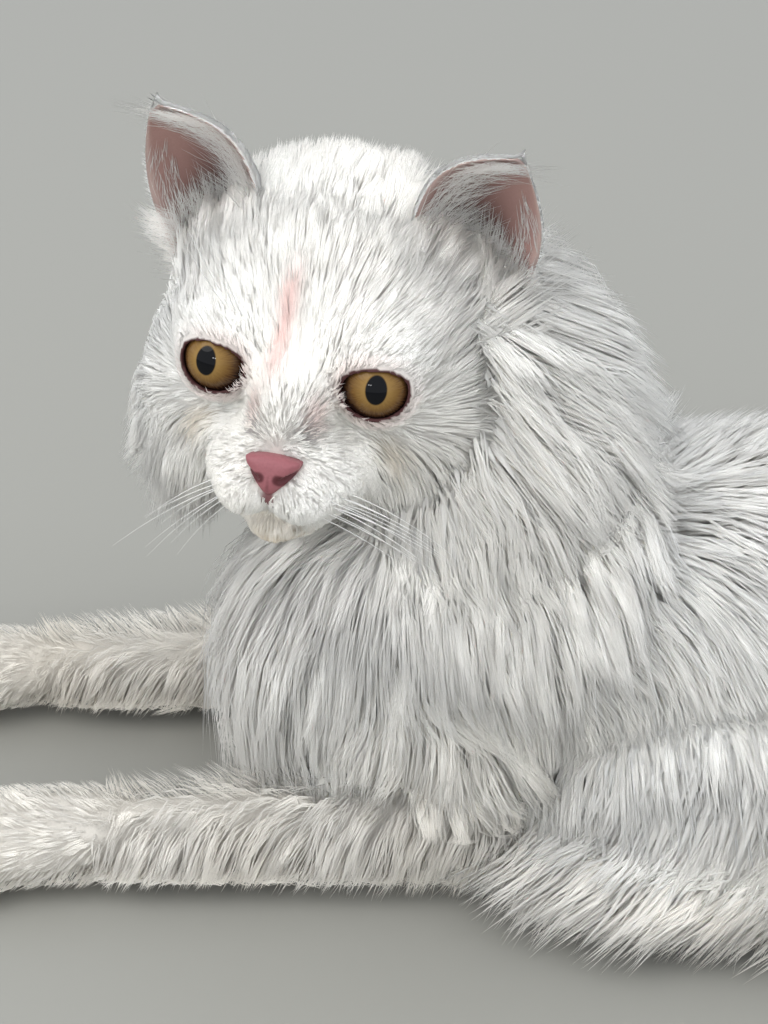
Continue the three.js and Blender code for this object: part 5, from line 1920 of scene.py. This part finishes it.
class MakeLimbCoat(bpy.types.Operator):
    """Grows the shorter hair of the forelegs and paws and the brush of the tail."""

    bl_idname = "cat.make_limb_coat"
    bl_label = "Coat of the legs and tail"

    def execute(self, context):
        look = context.scene.cat_coat
        wide = look.hair_width / MM
        legs = [f"{part}_{side}" for side in SIDES for part in ("forearm", "forepaw")]
        legs_coat = grow(
            "coat_forelegs", ground(), legs, 16500, look.seed + 20, steps=2, width=wide * 0.7, length=1.35,
            least=5.5, rise=1.15, spread=0.3, clump=3.6, hold=0.62, swirl=8, free=3.0, depth=leg_depth,
            where=above_floor, deep=0.2)
        finish_piece(legs_coat, coat_material())
        brush = ["tail", "hindpaw_left", "hindpaw_right"]
        tail_coat = grow(
            "coat_tail", ground(), brush, int(look.tufts * 0.7), look.seed + 21, steps=2, width=wide * 1.5,
            length=1.9, least=5.5, clump=5.0, hold=0.6, where=off_floor)
        finish_piece(tail_coat, coat_material())
        return {"FINISHED"}


class MakeWhiskers(bpy.types.Operator):
    """Makes the whiskers of the lips and brows."""

    bl_idname = "cat.make_whiskers"
    bl_label = "Whiskers"

    def execute(self, context):
        material, nodes, links, shader = new_material("white_whisker")
        shader.inputs["Base Color"].default_value = (*default_colour(250, 249, 246), 1)
        shader.inputs["Roughness"].default_value = 0.3
        add_bump(nodes, links, shader, scale=3000, strength=0.1, distance=0.0001)
        finish_piece(build_whiskers(material), material)
        return {"FINISHED"}


def aim(ob, place, target):
    """Stands a lamp or camera at a place, looking at the target."""
    ob.location = place
    ob.rotation_euler = (Vector(target) - Vector(place)).to_track_quat("-Z", "Y").to_euler()


def area_light(name, place, target, power, size, colour=(1, 1, 1)):
    """A round soft lamp. Places and size in metres, power in watts."""
    lamp = bpy.data.lights.new(name, "AREA")
    lamp.energy, lamp.size, lamp.color = power, size, colour
    lamp.shape = "DISK"
    ob = bpy.data.objects.new(name, lamp)
    bpy.context.scene.collection.objects.link(ob)
    aim(ob, place, target)


class MakeStage(bpy.types.Operator):
    """Makes the pale floor, the soft lights and the camera."""

    bl_idname = "cat.make_stage"
    bl_label = "Stage"

    def execute(self, context):
        stage = context.scene.cat_stage
        reach = 6000
        corners = [(-reach, -reach, 0), (reach, -reach, 0), (reach, reach, 0), (-reach, reach, 0)]
        floor = mesh_from("floor", corners, [(0, 1, 2, 3)])
        material, nodes, links, shader = new_material("pale_floor")
        shader.inputs["Base Color"].default_value = (*stage.floor, 1)
        shader.inputs["Roughness"].default_value = 0.45
        add_bump(nodes, links, shader, scale=60, strength=0.03, distance=0.001)
        floor.data.materials.append(material)
        target = Vector((0.022, 0, 0.11))
        turn, rise = math.radians(stage.azimuth), math.radians(stage.elevation)
        back = Vector((math.sin(turn) * math.cos(rise), -math.cos(turn) * math.cos(rise), math.sin(rise)))
        lens = bpy.data.cameras.new("camera")
        lens.lens, lens.sensor_width = 70, 36
        lens.clip_start = 0.02
        camera = bpy.data.objects.new("camera", lens)
        context.scene.collection.objects.link(camera)
        aim(camera, target + back * stage.distance, target)
        context.scene.camera = camera
        world = bpy.data.worlds.new("soft_light")
        world.use_nodes = True
        sky = world.node_tree.nodes["Background"]
        sky.inputs["Color"].default_value = (0.93, 0.96, 1.0, 1)
        sky.inputs["Strength"].default_value = stage.sky
        context.scene.world = world
        context.scene.view_settings.view_transform = "Standard"
        area_light("key", (0.35, -0.9, 1.3), (0.03, 0, 0.1), stage.key, 1.3, (1.0, 0.98, 0.95))
        # two small lamps for the glints in the eyes
        for k, azimuth in enumerate((62.0, 69.0)):
            a = math.radians(azimuth)
            place = (0.02 + 0.95 * math.sin(a), -0.02 - 0.95 * math.cos(a), 0.49)
            area_light(f"glint_{k}", place, (0.02, -0.02, 0.155), 0.3, 0.05)
        area_light("fill", (0.2, 1.2, 1.0), (0.03, 0.1, 0.1), stage.fill, 0.8, (0.95, 0.97, 1.0))
        return {"FINISHED"}


class CatPanel(bpy.types.Panel):
    """The cat's settings and steps in the sidebar."""

    bl_idname = "VIEW3D_PT_persian_cat"
    bl_label = "Persian cat"
    bl_space_type = "VIEW_3D"
    bl_region_type = "UI"
    bl_category = "Cat"

    def draw(self, context):
        for name in ("cat_coat", "cat_face", "cat_stage"):
            group = getattr(context.scene, name)
            box = self.layout.box()
            for key in group.__annotations__:
                box.prop(group, key)
        for step in STEPS:
            self.layout.operator(step.bl_idname)


STEPS = (
    MakeStage, MakeSkin, MakeEyes, MakeNose, MakeEars, MakeFaceCoat, MakeBodyCoat, MakeLimbCoat, MakeWhiskers)
CLASSES = (CatCoat, CatFace, CatStage, *STEPS, CatPanel)


def register():
    """Registers the settings, the steps and the panel."""
    for item in CLASSES:
        bpy.utils.register_class(item)
    bpy.types.Scene.cat_coat = PointerProperty(type=CatCoat)
    bpy.types.Scene.cat_face = PointerProperty(type=CatFace)
    bpy.types.Scene.cat_stage = PointerProperty(type=CatStage)


def unregister():
    """Takes them away again."""
    for name in ("cat_stage", "cat_face", "cat_coat"):
        delattr(bpy.types.Scene, name)
    for item in reversed(CLASSES):
        bpy.utils.unregister_class(item)


def main():
    """Makes the whole cat and its stage."""
    register()
    for step in STEPS:
        group, call = step.bl_idname.split(".")
        getattr(getattr(bpy.ops, group), call)()


if __name__ == "__main__":
    main()
